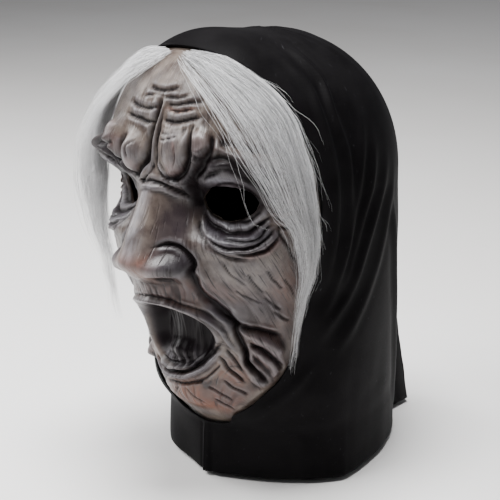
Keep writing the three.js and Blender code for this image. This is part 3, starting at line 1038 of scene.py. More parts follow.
FOREHEAD_STROKES = (
    Stroke("fore_crease_1", ((-6, -23), (-2, -25), (3, -25), (9, -22)), 1.6, -1.2),
    Stroke("fore_crease_2", ((-8, -29), (-1, -28), (8, -29), (14, -26)), 1.2, -0.8, DARK, 0.45),
    Stroke("fore_crease_3_left", ((5, -34), (9, -33), (13, -31), (20, -29)), 1.5, -1.1),
    Stroke("fore_crease_3_right", ((-14, -33), (-8, -36), (-3, -37), (1, -35)), 1.5, -1.3, DARK, 0.85),
    Stroke("fore_crease_4", ((5, -36), (11, -36.5), (17, -33.5)), 1.2, -1.0, WARM, 0.9),
    Stroke("fore_crease_5_right", ((-15, -41), (-7, -44), (-3, -45.5), (1, -45)), 1.7, -1.5, DARK, 0.95),
    Stroke("fore_crease_5_left", ((5, -43), (10, -43.5), (14, -42), (20, -38)), 1.6, -1.4, DARK, 0.9),
    Stroke("fore_crease_6", ((5, -51.5), (8, -51.5), (11, -50)), 0.9, -0.7, DARK, 0.5),
    Stroke("fore_crease_7", ((5, -55), (9, -54.5), (13, -52)), 0.9, -0.7, DARK, 0.5),
    Stroke("fore_furrow", ((2, -27), (1.5, -38), (1, -46), (-0.5, -56), (-2, -70), (-7, -81)),
           2.0, -2.6, DARK, 1.0),
    Stroke("fore_line", ((4, -36), (3.4, -50), (3, -62), (3, -71), (5, -79)), 1.2, -1.3, DARK, 0.75),
    Stroke("fore_band", ((2.6, -32), (2, -48), (1.2, -60), (0, -72), (-2, -80)), 1.5, 0.9, SILVER, 0.35),
    Stroke("lump_left_edge", ((17, -45), (17.6, -56), (16.5, -67), (13.5, -76), (9, -80.5), (5.5, -77)),
           2.0, -3.2, DARK, 1.0),
    Stroke("lump_right_edge", ((-13, -56), (-14.5, -66), (-13, -76), (-8, -81), (-4, -77)),
           2.0, -2.8, DARK, 1.0),
    Stroke("brow_pad_edge", ((24.5, -48), (25, -58), (22, -64), (18.5, -61)),
           1.7, -2.4, DARK, 1.0, both=True),
    Stroke("far_lump_edge", ((-23, -57), (-23, -68), (-19, -74), (-15, -70)), 1.8, -2.0, DARK, 0.95),
    Stroke("pad_lines_1", ((8, -55), (7, -64), (8, -73)), 0.8, -0.5, DARK, 0.4),
    Stroke("pad_lines_2", ((12, -54), (13, -64), (12, -72)), 0.8, -0.5, WARM, 0.6),
    Stroke("pad_line_right", ((-6, -58), (-9, -63), (-8, -70)), 0.9, -0.7, DARK, 0.4),
)

NOSE_STROKES = (
    # painted shade on the nose tip
    Stroke("tip_painted_shade", ((-4, -138), (0, -141), (5, -139)), 5.0, 0.0, DARK, 0.25),
    Stroke("nasion_crease", ((-6, -82), (-3, -85), (1, -83.5), (6, -85), (12, -90), (16, -94)),
           1.4, -2.0, DARK, 0.9),
    Stroke("nasion_roll", ((-5, -88), (0, -87), (6, -88.5), (11, -93)), 1.3, 0.9, SILVER, 0.5),
    Stroke("nasion_fold_left", ((3, -70), (6, -77), (11, -84), (15, -87)), 1.6, 1.6, SILVER, 0.5),
    Stroke("nasion_fold_right", ((-1, -72), (-3.5, -77), (-5, -81)), 1.5, 1.4, SILVER, 0.5),
    Stroke("nasion_dent", ((-4.6, -84), (-2.6, -83), (-1, -80)), 1.2, -1.8, DARK, 1.0),
    Stroke("nose_under", ((-8, -150), (0, -152), (8, -151), (15, -147)), 3.0, -0.8, DARK, 0.75),
) + paired(
    # painted shade on the nose wings, and on the sides of the nose in the next row
    Stroke("wing_painted_shade", ((9, -124), (13, -132), (16, -141)), 8.0, 0.0, DARK, 0.7),
    Stroke("nose_shade_left", ((6, -96), (8, -108), (9.5, -118)), 4.5, 0.0, VIOLET, 0.25),
    Stroke("wing_crease", ((6, -124), (9, -122.5), (13, -124.5), (16.5, -130), (17.5, -137), (16, -143)),
           1.6, -2.6, DARK, 1.0),
    Stroke("wing_sheen", ((9, -127), (13, -129), (15, -134)), 2.0, 0.0, VIOLET, 0.6),
    Stroke("nostril_brim", ((5, -143.5), (9, -141.5), (14, -142.5)), 1.4, 1.0, WARM, 0.4),
)

EYE_STROKES = paired(
    # dark paint and painted shade round the eye, in socket_dark and the shade strokes
    Stroke("socket_dark", ((17, -78), (24, -66), (33, -65), (42, -77), (48, -94)), 10.0, 0.0, DARK, 0.62),
    Stroke("inner_shade", ((24, -62), (20, -72), (16, -82), (16, -94), (18, -103)), 7.5, 0.0, DARK, 0.9),
    Stroke("lid_shade", ((22, -68), (28, -66), (35, -71), (41, -80), (46, -91)), 7.0, 0.0, DARK, 0.94),
    Stroke("outer_shade", ((44, -84), (47, -93), (46, -102)), 5.5, 0.0, DARK, 0.85),
    Stroke("under_shade", ((18, -103), (24, -113), (32, -118), (40, -115), (46, -106)),
           10.0, 0.0, VIOLET, 0.95),
    Stroke("socket_crease", ((21, -73), (23, -66), (28, -62.5), (33, -66), (38, -73), (43, -82), (46, -91)),
           3.2, -3.4, DARK, 1.0, spread=1.5),
    Stroke("socket_fold", ((25, -50), (27, -57), (32, -62.5), (37, -68), (43, -76), (48, -86)),
           2.6, 2.2, WARM, 0.3),
    Stroke("inner_crease", ((24, -63), (20, -71), (17, -80), (16.5, -92), (18, -101)),
           2.6, -2.4, DARK, 1.0, spread=1.6),
    Stroke("nose_root_fold", ((20, -66), (16, -77), (14, -88), (14.5, -96)), 2.2, 1.6, VIOLET, 0.7),
    Stroke("lid_roll", ((20, -88), (23, -79.5), (28, -75), (33, -76.5), (38, -82), (42, -91)),
           2.6, 2.2, SILVER, 0.3),
    Stroke("lid_crease", ((21, -79), (25, -72.5), (30, -69.5), (35, -73), (40, -81), (44, -91)),
           1.3, -1.6, DARK, 0.9),
    Stroke("lid_edge", ((21, -92), (24, -84), (29, -80), (34, -82), (39, -89), (42, -96)),
           1.2, -0.5, DARK, 0.75),
    Stroke("lower_lid", ((18.5, -98), (22, -104.5), (27, -109), (32, -110),
           (37, -108.5), (41, -103.5), (43.5, -96)), 1.7, 1.8, SILVER, 0.65),
    Stroke("lower_crease", ((18.5, -104), (22, -109.5), (27, -113), (32, -114),
           (37, -112.5), (41, -108.5), (44.5, -103)), 1.2, -1.9, DARK, 1.0),
    Stroke("bag_roll_1", ((20, -112), (25, -117), (31, -118), (36, -117), (41, -114)), 1.7, 0.8, SILVER, 0.5),
    Stroke("bag_crease_1", ((27, -115), (32, -117.5), (37, -117.5), (41, -115), (45, -108)),
           1.1, -1.4, DARK, 0.85),
    Stroke("bag_crease_2", ((22, -117), (27, -121), (33, -122.5), (38, -121), (42, -117.5), (46, -111)),
           1.2, -1.7, DARK, 0.9),
    Stroke("bag_roll_2", ((26, -123), (32, -125), (38, -124), (43, -120.5), (47, -114)),
           1.5, 1.0, SILVER, 0.3),
    Stroke("bag_crease_3", ((31, -124.5), (36, -126.5), (41, -125), (45, -121), (47.5, -115)),
           1.2, -1.5, DARK, 0.85),
    Stroke("bag_stain", ((34, -128), (40, -127.5), (45, -123), (48, -116)), 2.4, 0.3, WARM, 0.85),
    Stroke("bag_edge", ((17, -106), (19, -114), (24, -122), (31, -128.5), (39, -130)), 1.4, -0.9, DARK, 0.5),
    Stroke("crow_1", ((44, -86), (46.5, -88), (49.5, -86)), 1.2, -1.3, DARK, 0.9),
    Stroke("crow_2", ((45, -92), (47.5, -95.5), (50.5, -93)), 1.3, -1.4, DARK, 0.9),
    Stroke("crow_3", ((45.5, -97), (49, -100), (52, -97)), 1.3, -1.7, DARK, 1.0),
    Stroke("crow_4", ((46, -102), (50, -105.5), (53, -103)), 1.4, -1.8, DARK, 1.0),
    Stroke("crow_5", ((47, -109), (51, -110.5), (54, -109)), 1.1, -1.1, DARK, 0.7),
)

CHEEK_STROKES = paired(
    Stroke("cheek_line_1", ((47, -108), (48, -115), (50, -121), (52, -127), (55, -138)),
           1.1, -1.1, DARK, 0.8),
    Stroke("cheek_line_2", ((28, -132), (31, -141), (36, -150)), 0.9, -0.5, DARK, 0.5),
    Stroke("cheek_line_3", ((36, -140), (39, -149), (43, -157)), 0.9, -0.6, DARK, 0.6),
    Stroke("cheek_line_4", ((43, -138), (46, -147), (50, -155)), 0.9, -0.7, DARK, 0.7),
    Stroke("cheek_line_5", ((31, -152), (36, -160), (41, -166)), 0.9, -0.7, DARK, 0.7),
    Stroke("cheek_line_6", ((42, -160), (46, -167), (50, -172)), 1.0, -0.8, DARK, 0.8),
    Stroke("cheek_line_7", ((50, -146), (53, -154), (56, -164)), 0.9, -0.6, DARK, 0.6),
    Stroke("cheek_line_8", ((46, -172), (50, -177), (54, -181)), 1.0, -0.8, DARK, 0.8),
    Stroke("cheek_fold", ((16.5, -131), (17, -143), (19, -156), (24, -166), (29, -177), (32, -187)),
           2.8, -2.4, DARK, 1.0, spread=1.5),
    Stroke("cheek_fold_roll", ((20, -134), (22, -150), (27, -162), (33, -173)), 3.6, 1.6, SILVER, 0.15),
    Stroke("mouth_fold", ((29, -176), (31, -187), (33.5, -198), (35, -211), (40, -220)),
           2.2, -2.6, DARK, 1.0, spread=1.5),
    Stroke("jowl_top_crease", ((25, -171), (32, -181), (40, -185.5), (50, -191)),
           1.9, -2.0, DARK, 0.9, spread=1.4),
    Stroke("jowl_top_roll", ((33, -187), (40, -191), (47, -197), (51, -206)), 3.4, 2.6, WARM, 0.4),
    Stroke("jowl_mid_crease", ((35.5, -195), (43, -201), (49, -212), (52, -218)),
           1.9, -3.4, DARK, 1.0, spread=1.5),
    Stroke("jowl_mid_roll", ((37, -201), (42, -208), (47, -217), (49, -223)), 3.4, 2.8, WARM, 0.5),
    Stroke("jowl_low_crease", ((34.5, -200), (35, -209), (39, -217), (44, -226)),
           1.8, -3.2, DARK, 1.0, spread=1.5),
    Stroke("jowl_low_roll", ((36, -222), (40, -226.5), (43, -229)), 3.0, 2.0, SILVER, 0.2),
)

MOUTH_STROKES = (
    # dark paint and painted shade over the upper lip, under the nose
    Stroke("lip_dark", ((-18, -160), (-4, -154), (8, -154), (20, -163)), 8.0, 0.0, DARK, 0.3),
    Stroke("upper_lip_brim", ((-24, -180), (-14, -171), (-4, -167.5), (6, -166.5), (12, -170), (20, -176.5),
           (25, -186), (29, -198), (32, -208)), 1.7, 1.7, VIOLET, 0.6),
    Stroke("upper_lip_line", ((-24, -176), (-14, -167), (-4, -163.5), (6, -162.5),
           (13, -166), (21, -172.5), (26, -181)), 1.3, -0.8, DARK, 0.45),
    Stroke("lower_lip", ((-24, -214), (-14, -228), (-4, -228.5), (4, -227),
           (11, -221), (18, -211.5), (23, -203)), 3.2, 3.2, VIOLET, 0.75),
    # painted highlight on the lower lip
    Stroke("lower_lip_light", ((12, -219), (17, -212), (22, -204)), 1.8, 0.6, SILVER, 0.45),
    Stroke("lower_lip_foot", ((-16, -236), (-6, -235), (3, -233.5), (11, -229), (18, -221), (24, -211)),
           1.3, -1.2, WARM, 0.8),
    Stroke("lip_gap", ((-18, -219), (-10, -226), (-2, -225), (5, -223),
           (12, -215.5), (21, -202.5), (25, -194)), 1.6, -2.2, DARK, 1.0),
    Stroke("tongue_brim", ((-16, -219), (-9, -223), (-3, -222.5), (5, -220), (10, -214)),
           1.6, 2.0, SILVER, 0.55),
    Stroke("tongue_gap", ((-14, -216), (-8, -219.5), (-2, -219), (4, -217)), 1.2, -1.4, DARK, 0.6),
    Stroke("mouth_red", ((-5, -178), (-4, -188), (-4, -194)), 1.3, 0.6, WARM, 0.5),
) + paired(
    Stroke("corner_crease", ((23, -206), (26, -217), (33, -228)), 1.5, -2.0, DARK, 0.9),
    Stroke("corner_crease_2", ((26, -199), (29, -209), (33, -219)), 1.3, -1.4, DARK, 0.8),
    Stroke("chin_line_1", ((14, -233), (20, -238), (27, -244)), 1.1, -0.8, DARK, 0.6),
    Stroke("chin_line_2", ((22, -226), (28, -233), (35, -238)), 1.1, -1.0, DARK, 0.7),
    Stroke("chin_line_3", ((16, -243), (22, -248), (27, -253)), 1.2, -1.0, DARK, 0.7),
    Stroke("chin_line_4", ((2, -237), (6, -243), (12, -249)), 1.0, -0.6, DARK, 0.45),
)

# the zone, then the width, length and height in mm of its ridges, and how dark their valleys are painted,
# with paint and painted shade
PLEATED_ZONES = (
    (Swelling("lip_pleats", 6, -157, 44, 11, 0.0), 2.6, 15.0, 1.1, 0.75),
    (Swelling("mouth_ridges", 2, -196, 36, 24, 0.0, flatness=3.0), 3.4, 26.0, 2.2, 0.5),
    (Swelling("chin_grain", 8, -243, 56, 16, 0.0), 3.0, 10.0, 0.5, 0.4),
    (Swelling("cheek_grain", 38, -158, 30, 34, 0.0, both=True), 3.0, 16.0, 0.5, 0.45),
    (Swelling("jowl_grain", 42, -206, 20, 24, 0.0, both=True), 2.6, 14.0, 0.4, 0.35),
    (Swelling("bag_grain", 30, -121, 26, 12, 0.0, both=True), 2.2, 4.0, 0.5, 0.35),
    (Swelling("brow_grain", 6, -48, 46, 26, 0.0), 3.0, 8.0, 0.4, 0.3),
    (Swelling("lower_lip_grain", 6, -226, 34, 7, 0.0), 2.4, 7.0, 0.7, 0.6),
)
MOUTH_ZONE = 1


@dataclass
class FaceShell:
    """The hollow latex face, with its eye holes, closed mouth recess and painted folds."""

    wall: float = 2.2
    droop: float = 0.1
    columns: int = 249
    rows_below: int = 221
    rows_above: int = 96
    coarse: int = 4
    centre_bias: float = 0.35
    tuck_height: float = 1.0
    tuck_from: float = 8.0
    tuck_to: float = 16.0
    fade_from: float = 14.0
    fade_to: float = 26.0
    mouth_z: float = -196.0
    mouth_half_width: float = 38.0
    mouth_half_height: float = 28.0
    mouth_depth: float = 22.0
    mouth_rim: float = 1.04
    mouth_floor: float = 0.66
    eye_x: float = 45.0
    eye_y: float = -81.0
    eye_z: float = -96.0
    eye_length: float = 39.0
    eye_height: float = 26.0
    eye_turn: float = 22.5
    # dark paint with painted shade in the hollows, silver with painted highlights on the ridges
    wash_and_shade_strength: float = 0.94
    brush_and_highlight_strength: float = 0.3

    # level, angle of the rim
    REACH = (
        (-176, 24), (-154, 37), (-140, 46), (-126, 60), (-102, 66), (-72, 69),
        (-16, 74), (9, 71), (34, 62), (51, 52), (70, 44),
    )
    NOSE_FLANK_POWER = 2.2
    EYE_DEPTH = 34.0
    # height in mm, then place and width as shares of the mouth's outline
    LIP_ROLL = (2.0, 1.15, 0.2)
    # share of the mouth's depth at its foot, and what is added towards its top
    FOOT_DEPTH, TOP_DEPTH = 0.55, 0.45
    # how far a crease wanders off its row, in degrees and in mm
    WANDER_ANGLE, WANDER_Z = 0.4, 0.5
    # each stroke is cut deeper and narrower than its row says
    DEEPEN, NARROW = 1.2, 0.82
    # the shoulder beside a crease: widths from its middle, share of its depth
    SHOULDER_OUT, SHOULDER_SHARE = 2.3, 0.3
    FADED_END = 0.16
    # how much weaker, and how much finer both ways, the second grain of a ridge is
    SECOND_GRAIN, FINER_ACROSS, FINER_ALONG = 0.5, 2.1, 1.7
    GRAIN_SEED = 11
    # rounds of softening, depth in mm that takes the full wash and painted shade
    WASH_AND_SHADE_SCALES = ((8, 0.45), (60, 1.6))

    def __post_init__(self) -> None:
        """Reads the tables into curves."""
        self.reach = profiles(self.REACH)[0]
        self.nose_height, self.nose_width = profiles(NOSE_ROWS)

    def places(self, columns: int, rows_below: int, rows_above: int) -> tuple[Array, Array]:
        """Spreads a grid of places over the face.

        Args:
            columns: Places along a row.
            rows_below: Rows from the chin to the foot of the dome.
            rows_above: Rows above it.

        Returns:
            The angles and the levels, as grids.
        """
        side = np.linspace(-1.0, 1.0, columns)
        spread = side * (1.0 - self.centre_bias + self.centre_bias * side * side)
        lowest, highest = self.REACH[0][0], self.REACH[-1][0]
        angles, levels = [], []
        for level in np.linspace(lowest, 0.0, rows_below):
            angles.append(spread * self.reach.at(level))
            levels.append(np.full(columns, level))
        for share in np.arange(1, rows_above + 1) / rows_above:
            middle = FORM.dome_levels(np.array([35.0]), share, highest)[0]
            angle = spread * self.reach.at(middle)
            angles.append(angle)
            levels.append(FORM.dome_levels(angle, share, highest))
        return np.array(angles), np.array(levels)

    def skin_height(self, angle: Array, level: Array) -> Array:
        """Heights on the face's own map, where the right side doesn't droop."""
        return FORM.point(angle, level)[..., 2] + self.droop * np.maximum(-angle, 0.0) * SKIN_MM_PER_DEGREE

    def mouth_out(self, angle: Array, z: Array) -> Array:
        """How far out a place lies from the mouth's centre, 1 on its outline."""
        across = angle * SKIN_MM_PER_DEGREE / self.mouth_half_width
        return np.hypot(across, (z - self.mouth_z) / self.mouth_half_height)

    def main_relief(self, angle: Array, z: Array) -> Array:
        """The relief that gives the face its main forms.

        Args:
            angle: Angles in degrees.
            z: Heights on the face's map.

        Returns:
            Heights off the form in mm.
        """
        across = np.abs(angle) * SKIN_MM_PER_DEGREE
        height = self.nose_height.at(z) * np.exp(-((across / self.nose_width.at(z)) ** self.NOSE_FLANK_POWER))
        out = self.mouth_out(angle, z)
        top_share = smooth_step(-0.6, 0.7, (z - self.mouth_z) / self.mouth_half_height)
        depth = self.mouth_depth * (self.FOOT_DEPTH + self.TOP_DEPTH * top_share)
        roll, roll_out, roll_width = self.LIP_ROLL
        height = height + roll * bell(out - roll_out, roll_width)
        height = height - depth * smooth_step(self.mouth_rim, self.mouth_floor, out)
        for row in MAIN_SWELLINGS:
            for side in sides(row):
                height = height + row.height * row.shape(side * angle, z)
        return height

    def fine_relief(self, angle: Array, z: Array) -> tuple[Array, dict[Paint, Array]]:
        """The creases, rolls and pleats, and the paint that follows them.

        Args:
            angle: Angles in degrees.
            z: Heights on the face's map.

        Returns:
            Heights in mm to add to the main relief, and a mask for each paint.
        """
        height = np.zeros_like(angle)
        paint = {kind: np.zeros_like(angle) for kind in Paint}
        wander = LatticeNoise(self.GRAIN_SEED)
        shaky_angle = angle + self.WANDER_ANGLE * wander.at(angle * 0.28, z * 0.2 + 7.0)
        shaky_z = z + self.WANDER_Z * wander.at(angle * 0.3 + 31.0, z * 0.17)
        for row in FINE_SWELLINGS:
            for side in sides(row):
                shape = row.shape(side * shaky_angle, shaky_z)
                height += row.height * shape
                lay_on(paint, row.paint, row.strength * shape)
        for row in FOREHEAD_STROKES + NOSE_STROKES + EYE_STROKES + CHEEK_STROKES + MOUTH_STROKES:
            for side in sides(row):
                distance, share = row.measure(side * shaky_angle, shaky_z)
                ends = faded_ends(share, self.FADED_END)
                width = self.NARROW * row.width
                weight = bell(distance, width) * (0.25 + 0.75 * ends)
                shoulder = bell(distance - self.SHOULDER_OUT * width, width) * ends
                rise = self.SHOULDER_SHARE * min(row.height, 0.0) * shoulder
                height += self.DEEPEN * (row.height * weight - rise)
                brushed = row.strength * bell(distance, width * row.spread) * (0.2 + 0.8 * ends)
                lay_on(paint, row.paint, brushed)
        for number, (zone, across, along, relief, darkness) in enumerate(PLEATED_ZONES):
            weight = np.max([zone.shape(side * angle, z) for side in sides(zone)], axis=0)
            ridges = self.ridges(number, angle, z, across, along)
            height += relief * weight * ridges / (1.0 + self.SECOND_GRAIN)
            # dark paint and painted shade in the valleys of the pleats
            lay_on(paint, DARK, darkness * weight * smooth_step(-0.15, -0.75, ridges))
        return height, paint

    def ridges(self, number: int, angle: Array, z: Array, across: float, along: float) -> Array:
        """Uneven ridges that run the way the wrinkles do.

        Args:
            number: The number of their zone.
            angle: Angles in degrees.
            z: Heights on the face's map.
            across: The width of a ridge in mm.
            along: Its length in mm.

        Returns:
            Heights, below zero in the valleys.
        """
        grain = LatticeNoise(self.GRAIN_SEED + 1 + number)
        x, y = self.flow(angle, z) / across, z / along
        return grain.at(x, y) + self.SECOND_GRAIN * grain.at(x * self.FINER_ACROSS, y * self.FINER_ALONG)

    @staticmethod
    def flow(angle: Array, z: Array) -> Array:
        """A distance across the skin whose level lines run the way the wrinkles do."""
        across = np.abs(angle) * SKIN_MM_PER_DEGREE
        lean = 0.55 * smooth_step(14.0, 60.0, across)
        return np.sign(angle) * across + np.sign(angle) * lean * (z + 140.0)

    def fade(self, angle: Array, level: Array) -> tuple[Array, Array]:
        """How the relief ends at the rim.

        Args:
            angle: Angles in degrees.
            level: Levels.

        Returns:
            The share of the relief that stays, and the share of the tuck under the cloth.
        """
        from_rim = (self.reach.at(level) - np.abs(angle)) * SKIN_MM_PER_DEGREE
        inset = np.minimum(from_rim, np.minimum(self.REACH[-1][0] - level, level - self.REACH[0][0]))
        kept = smooth_step(self.fade_from, self.fade_to, inset)
        tucked = 1.0 - smooth_step(self.tuck_from, self.tuck_to, inset)
        return kept, tucked

    def eye_frame(self, points: Array, side: Side) -> tuple[Array, Array, Array]:
        """Measures points against one eye hole.

        Args:
            points: Points in mm.
            side: Which eye.

        Returns:
            Each point's place as a share of the outline (1 on it), its offset from the hole's
            axis in mm, and its turn about the axis.
        """
        turn = side.value * math.radians(self.eye_turn)
        along = np.array([math.cos(turn), math.sin(turn), 0.0])
        through = np.array([-math.sin(turn), math.cos(turn), 0.0])
        droop = self.droop * self.eye_x if side is Side.RIGHT else 0.0
        centre = np.array([side.value * self.eye_x, self.eye_y, self.eye_z - droop])
        offset = points - centre
        u, w = offset @ along, offset[..., 2]
        half, rise = self.eye_length / 2.0, self.eye_height / 2.0
        handles = (
            ((-half, 0.0), (-0.7 * half, 1.25 * rise), (0.5 * half, 1.4 * rise), (half, 0.0)),
            ((half, 0.0), (0.6 * half, -1.2 * rise), (-0.6 * half, -1.35 * rise), (-half, 0.0)),
        )
        t = np.linspace(0.0, 1.0, 60)[:, None]
        curves = [
            (1 - t) ** 3 * np.array(a) + 3 * (1 - t) ** 2 * t * np.array(b)
            + 3 * (1 - t) * t**2 * np.array(c) + t**3 * np.array(d)
            for a, b, c, d in handles
        ]
        outline = np.vstack(curves)
        turns = np.arctan2(outline[:, 1], outline[:, 0])
        order = np.argsort(turns)
        radius = np.hypot(outline[:, 0], outline[:, 1])
        turn_here = np.arctan2(w, u)
        edge = np.interp(turn_here, turns[order], radius[order], period=2.0 * math.pi)
        share = np.hypot(u, w) / edge
        share = np.where(np.abs(offset @ through) < self.EYE_DEPTH, share, np.inf)
        plane_offset = u[..., None] * along + w[..., None] * np.array([0.0, 0.0, 1.0])
        return share, plane_offset, turn_here

    def cut_eyes(self, points: Array, faces: Array) -> tuple[Array, Array]:
        """Opens both eye holes in one skin and pulls its vertices onto their outlines.

        Args:
            points: The skin's points.
            faces: Its faces.

        Returns:
            The moved points and the faces that stay.
        """
        points = points.copy()
        for side in Side:
            share, offset, _ = self.eye_frame(points, side)
            inside = share < 1.0
            gone = inside[faces].all(axis=1)
            faces = faces[~gone]
            pull = inside & np.isin(np.arange(len(points)), faces)
            grow = 1.0 / np.maximum(share[pull], 0.05) - 1.0
            points[pull] += offset[pull] * grow[:, None]
        return points, faces

    def build(self) -> bpy.types.Object:
        """Builds the shell, its masks and its maps.

        Returns:
            The finished piece without a material.
        """
        angle, level = self.places(self.columns, self.rows_below, self.rows_above)
        z = self.skin_height(angle, level)
        fine, paint = self.fine_relief(angle, z)
        kept, tucked = self.fade(angle, level)
        relief = (self.main_relief(angle, z) + fine) * kept - self.tuck_height * tucked
        outer = FORM.raised(angle, level, relief)
        # dark paint with painted shade in the hollows and silver with painted highlights on the ridges
        self.wash_brush_and_painted_light(self.main_relief(angle, z) + fine, paint)

        step = self.coarse
        few_angle, few_level = angle[::step, ::step], level[::step, ::step]
        few_z = z[::step, ::step]
        lowest = lowest_near(np.minimum(fine, 0.0), step)[::step, ::step]
        soft = (self.main_relief(few_angle, few_z) + lowest) * kept[::step, ::step]
        base = FORM.raised(few_angle, few_level, soft - self.tuck_height * tucked[::step, ::step])
        facing = unit(np.cross(np.gradient(base, axis=1), np.gradient(base, axis=0)))
        inner = base - self.wall * facing

        rows, columns = angle.shape
        few_rows, few_columns = few_angle.shape
        count = rows * columns
        outer_points, outer_faces = self.cut_eyes(outer.reshape(-1, 3), grid_faces(columns, rows, 0, False))
        inner_points, inner_faces = self.cut_eyes(
            inner.reshape(-1, 3), grid_faces(few_columns, few_rows, 0, False)
        )
        points = np.vstack([outer_points, inner_points])
        inner_faces = inner_faces + count
        strips = self.rims(points, outer_faces, inner_faces)
        keep, parts = used_only(points, [outer_faces, inner_faces[:, ::-1], strips])
        piece = piece_from_mesh("face_latex", points[keep], parts)

        def whole(outer_values: Array, inner_values: Array) -> Array:
            return np.concatenate([outer_values.reshape(-1), inner_values.reshape(-1)])[keep]

        none = np.zeros_like(few_angle)
        self.paint_mouth(angle, z, paint)
        for kind in (DARK, WARM, SILVER, VIOLET):
            set_mask(piece.data, kind.value, whole(np.clip(paint[kind], 0.0, 1.0) * kept, none))
        set_mask(piece.data, "streaky", whole(self.streaky(angle, z) * kept, none))
        set_mask(piece.data, "inside", whole(np.zeros_like(angle), none + 1.0))
        set_map(piece.data, "flow", whole(self.flow(angle, z), self.flow(few_angle, few_z)), whole(z, few_z))
        return piece

    def wash_brush_and_painted_light(self, relief: Array, paint: dict[Paint, Array]) -> None:
        """Lays dark paint with painted shade in the hollows, and silver dry brush with painted highlights
        over the ridges.

        Args:
            relief: Heights off the form in mm.
            paint: The masks, which are changed.
        """
        for rounds, depth in self.WASH_AND_SHADE_SCALES:
            hollow = softened(relief, rounds) - relief
            lay_on(paint, DARK, self.wash_and_shade_strength * smooth_step(0.1 * depth, depth, hollow))
            lay_on(paint, SILVER, self.brush_and_highlight_strength * smooth_step(-0.1 * depth, -depth, hollow))

    def paint_mouth(self, angle: Array, z: Array, paint: dict[Paint, Array]) -> None:
        """Paints the recess of the mouth: dark paint with painted shade, blackest at the top under the lip,
        and silvery dry brush with painted highlights on the ridges lower down.

        Args:
            angle: Angles in degrees.
            z: Heights on the face's map.
            paint: The masks, which are changed.
        """
        recess = smooth_step(1.0, 0.84, self.mouth_out(angle, z))
        ridges = self.ridges(MOUTH_ZONE, angle, z, *PLEATED_ZONES[MOUTH_ZONE][1:3])
        lower = smooth_step(self.mouth_z + 2.0, self.mouth_z - 22.0, z + 5.0 * ridges)
        # silver on the ridges of the floor: dry brush and painted highlight
        lit = recess * smooth_step(-0.1, 0.7, ridges) * lower
        lay_on(paint, VIOLET, recess * 0.9)
        paint[SILVER] = np.maximum(paint[SILVER] * (1.0 - recess), 0.5 * lit)
        paint[WARM] = paint[WARM] * (1.0 - 0.8 * recess)
        # black: dark paint and painted shade, deepest at the top of the recess under the upper lip
        black = recess * (1.0 - 0.5 * lower) * (1.0 - 0.3 * smooth_step(0.3, 0.9, ridges))
        lay_on(paint, DARK, 0.97 * black)
        lay_on(paint, DARK, 0.95 * recess * smooth_step(0.2, -0.3, ridges))

    @staticmethod
    def streaky(angle: Array, z: Array) -> Array:
        """Where the brush left thin dark scratches: most on the cheeks, lips and chin."""
        down = smooth_step(-112.0, -134.0, z)
        nose = bell(angle, 10.0) * smooth_step(-152.0, -146.0, z)
        return np.clip(0.28 + 0.72 * down, 0.0, 1.0) * (1.0 - nose)

    def rims(self, points: Array, outer_faces: Array, inner_faces: Array) -> Array:
        """Closes the wall at the rim and round the two eye holes.

        Args:
            points: All the points of both skins.
            outer_faces: The faces of the outer skin.
            inner_faces: The faces of the inner skin.

        Returns:
            Triangles between the skins.
        """
        centre = np.array([0.0, 0.0, self.eye_z])
        front = np.arctan2(points[:, 2] - centre[2], points[:, 0])
        eyes = {side: self.eye_frame(points, side) for side in Side}

        def place_of(loop: list[int]) -> Side | None:
            for side, (share, _, _) in eyes.items():
                if np.median(share[loop]) < 1.01:
                    return side
            return None

        outer = {place_of(loop): loop for loop in sorted(open_loops(outer_faces), key=len)}
        inner = {place_of(loop): loop for loop in sorted(open_loops(inner_faces), key=len)}
        strips = []
        for place, loop in outer.items():
            turns = front if place is None else eyes[place][2]
            strips += zip_loops(loop, inner[place], turns)
        return np.array(strips)


# The hood


# Soft folds that sweep down from the crown and the ear and gather behind the jaw, by angle and level.
HOOD_FOLDS = (
    Stroke("brow_fold", ((28, 74), (50, 63), (66, 47), (70, 35), (72, 20), (74, 3),
           (74, -22), (72, -47), (68, -69)), 4.2, 2.3, NONE),
    Stroke("temple_fold", ((45, 74), (68, 63), (80, 49), (79, 32), (82, 14), (82, -8),
           (80, -32), (76, -53), (71, -76)), 4.2, 2.4, NONE),
    Stroke("ear_fold", ((104, 36), (94, 19), (88, 2), (84, -21), (79, -45), (74, -71), (66, -98)),
           4.0, 2.1, NONE),
    Stroke("jaw_fold", ((108, 22), (100, 8), (93, -11), (87, -35), (81, -60), (73, -84)), 3.6, 1.7, NONE),
    Stroke("neck_fold", ((118, 16), (108, -3), (100, -22), (93, -42), (84, -69), (74, -88), (66, -104)),
           4.2, 2.1, NONE),
    Stroke("long_fold", ((126, 12), (118, -12), (109, -42), (98, -72), (86, -96), (74, -118)),
           5.0, 1.4, NONE),
    Stroke("throat_fold", ((70, -112), (56, -134), (40, -152), (26, -166)), 4.0, 1.3, NONE),
    Stroke("back_fold", ((120, 2), (128, -60), (140, -130), (152, -209)), 4.6, 2.2, NONE),
    Stroke("nape_fold", ((142, -8), (152, -90), (164, -209)), 6.0, 1.4, NONE),
)


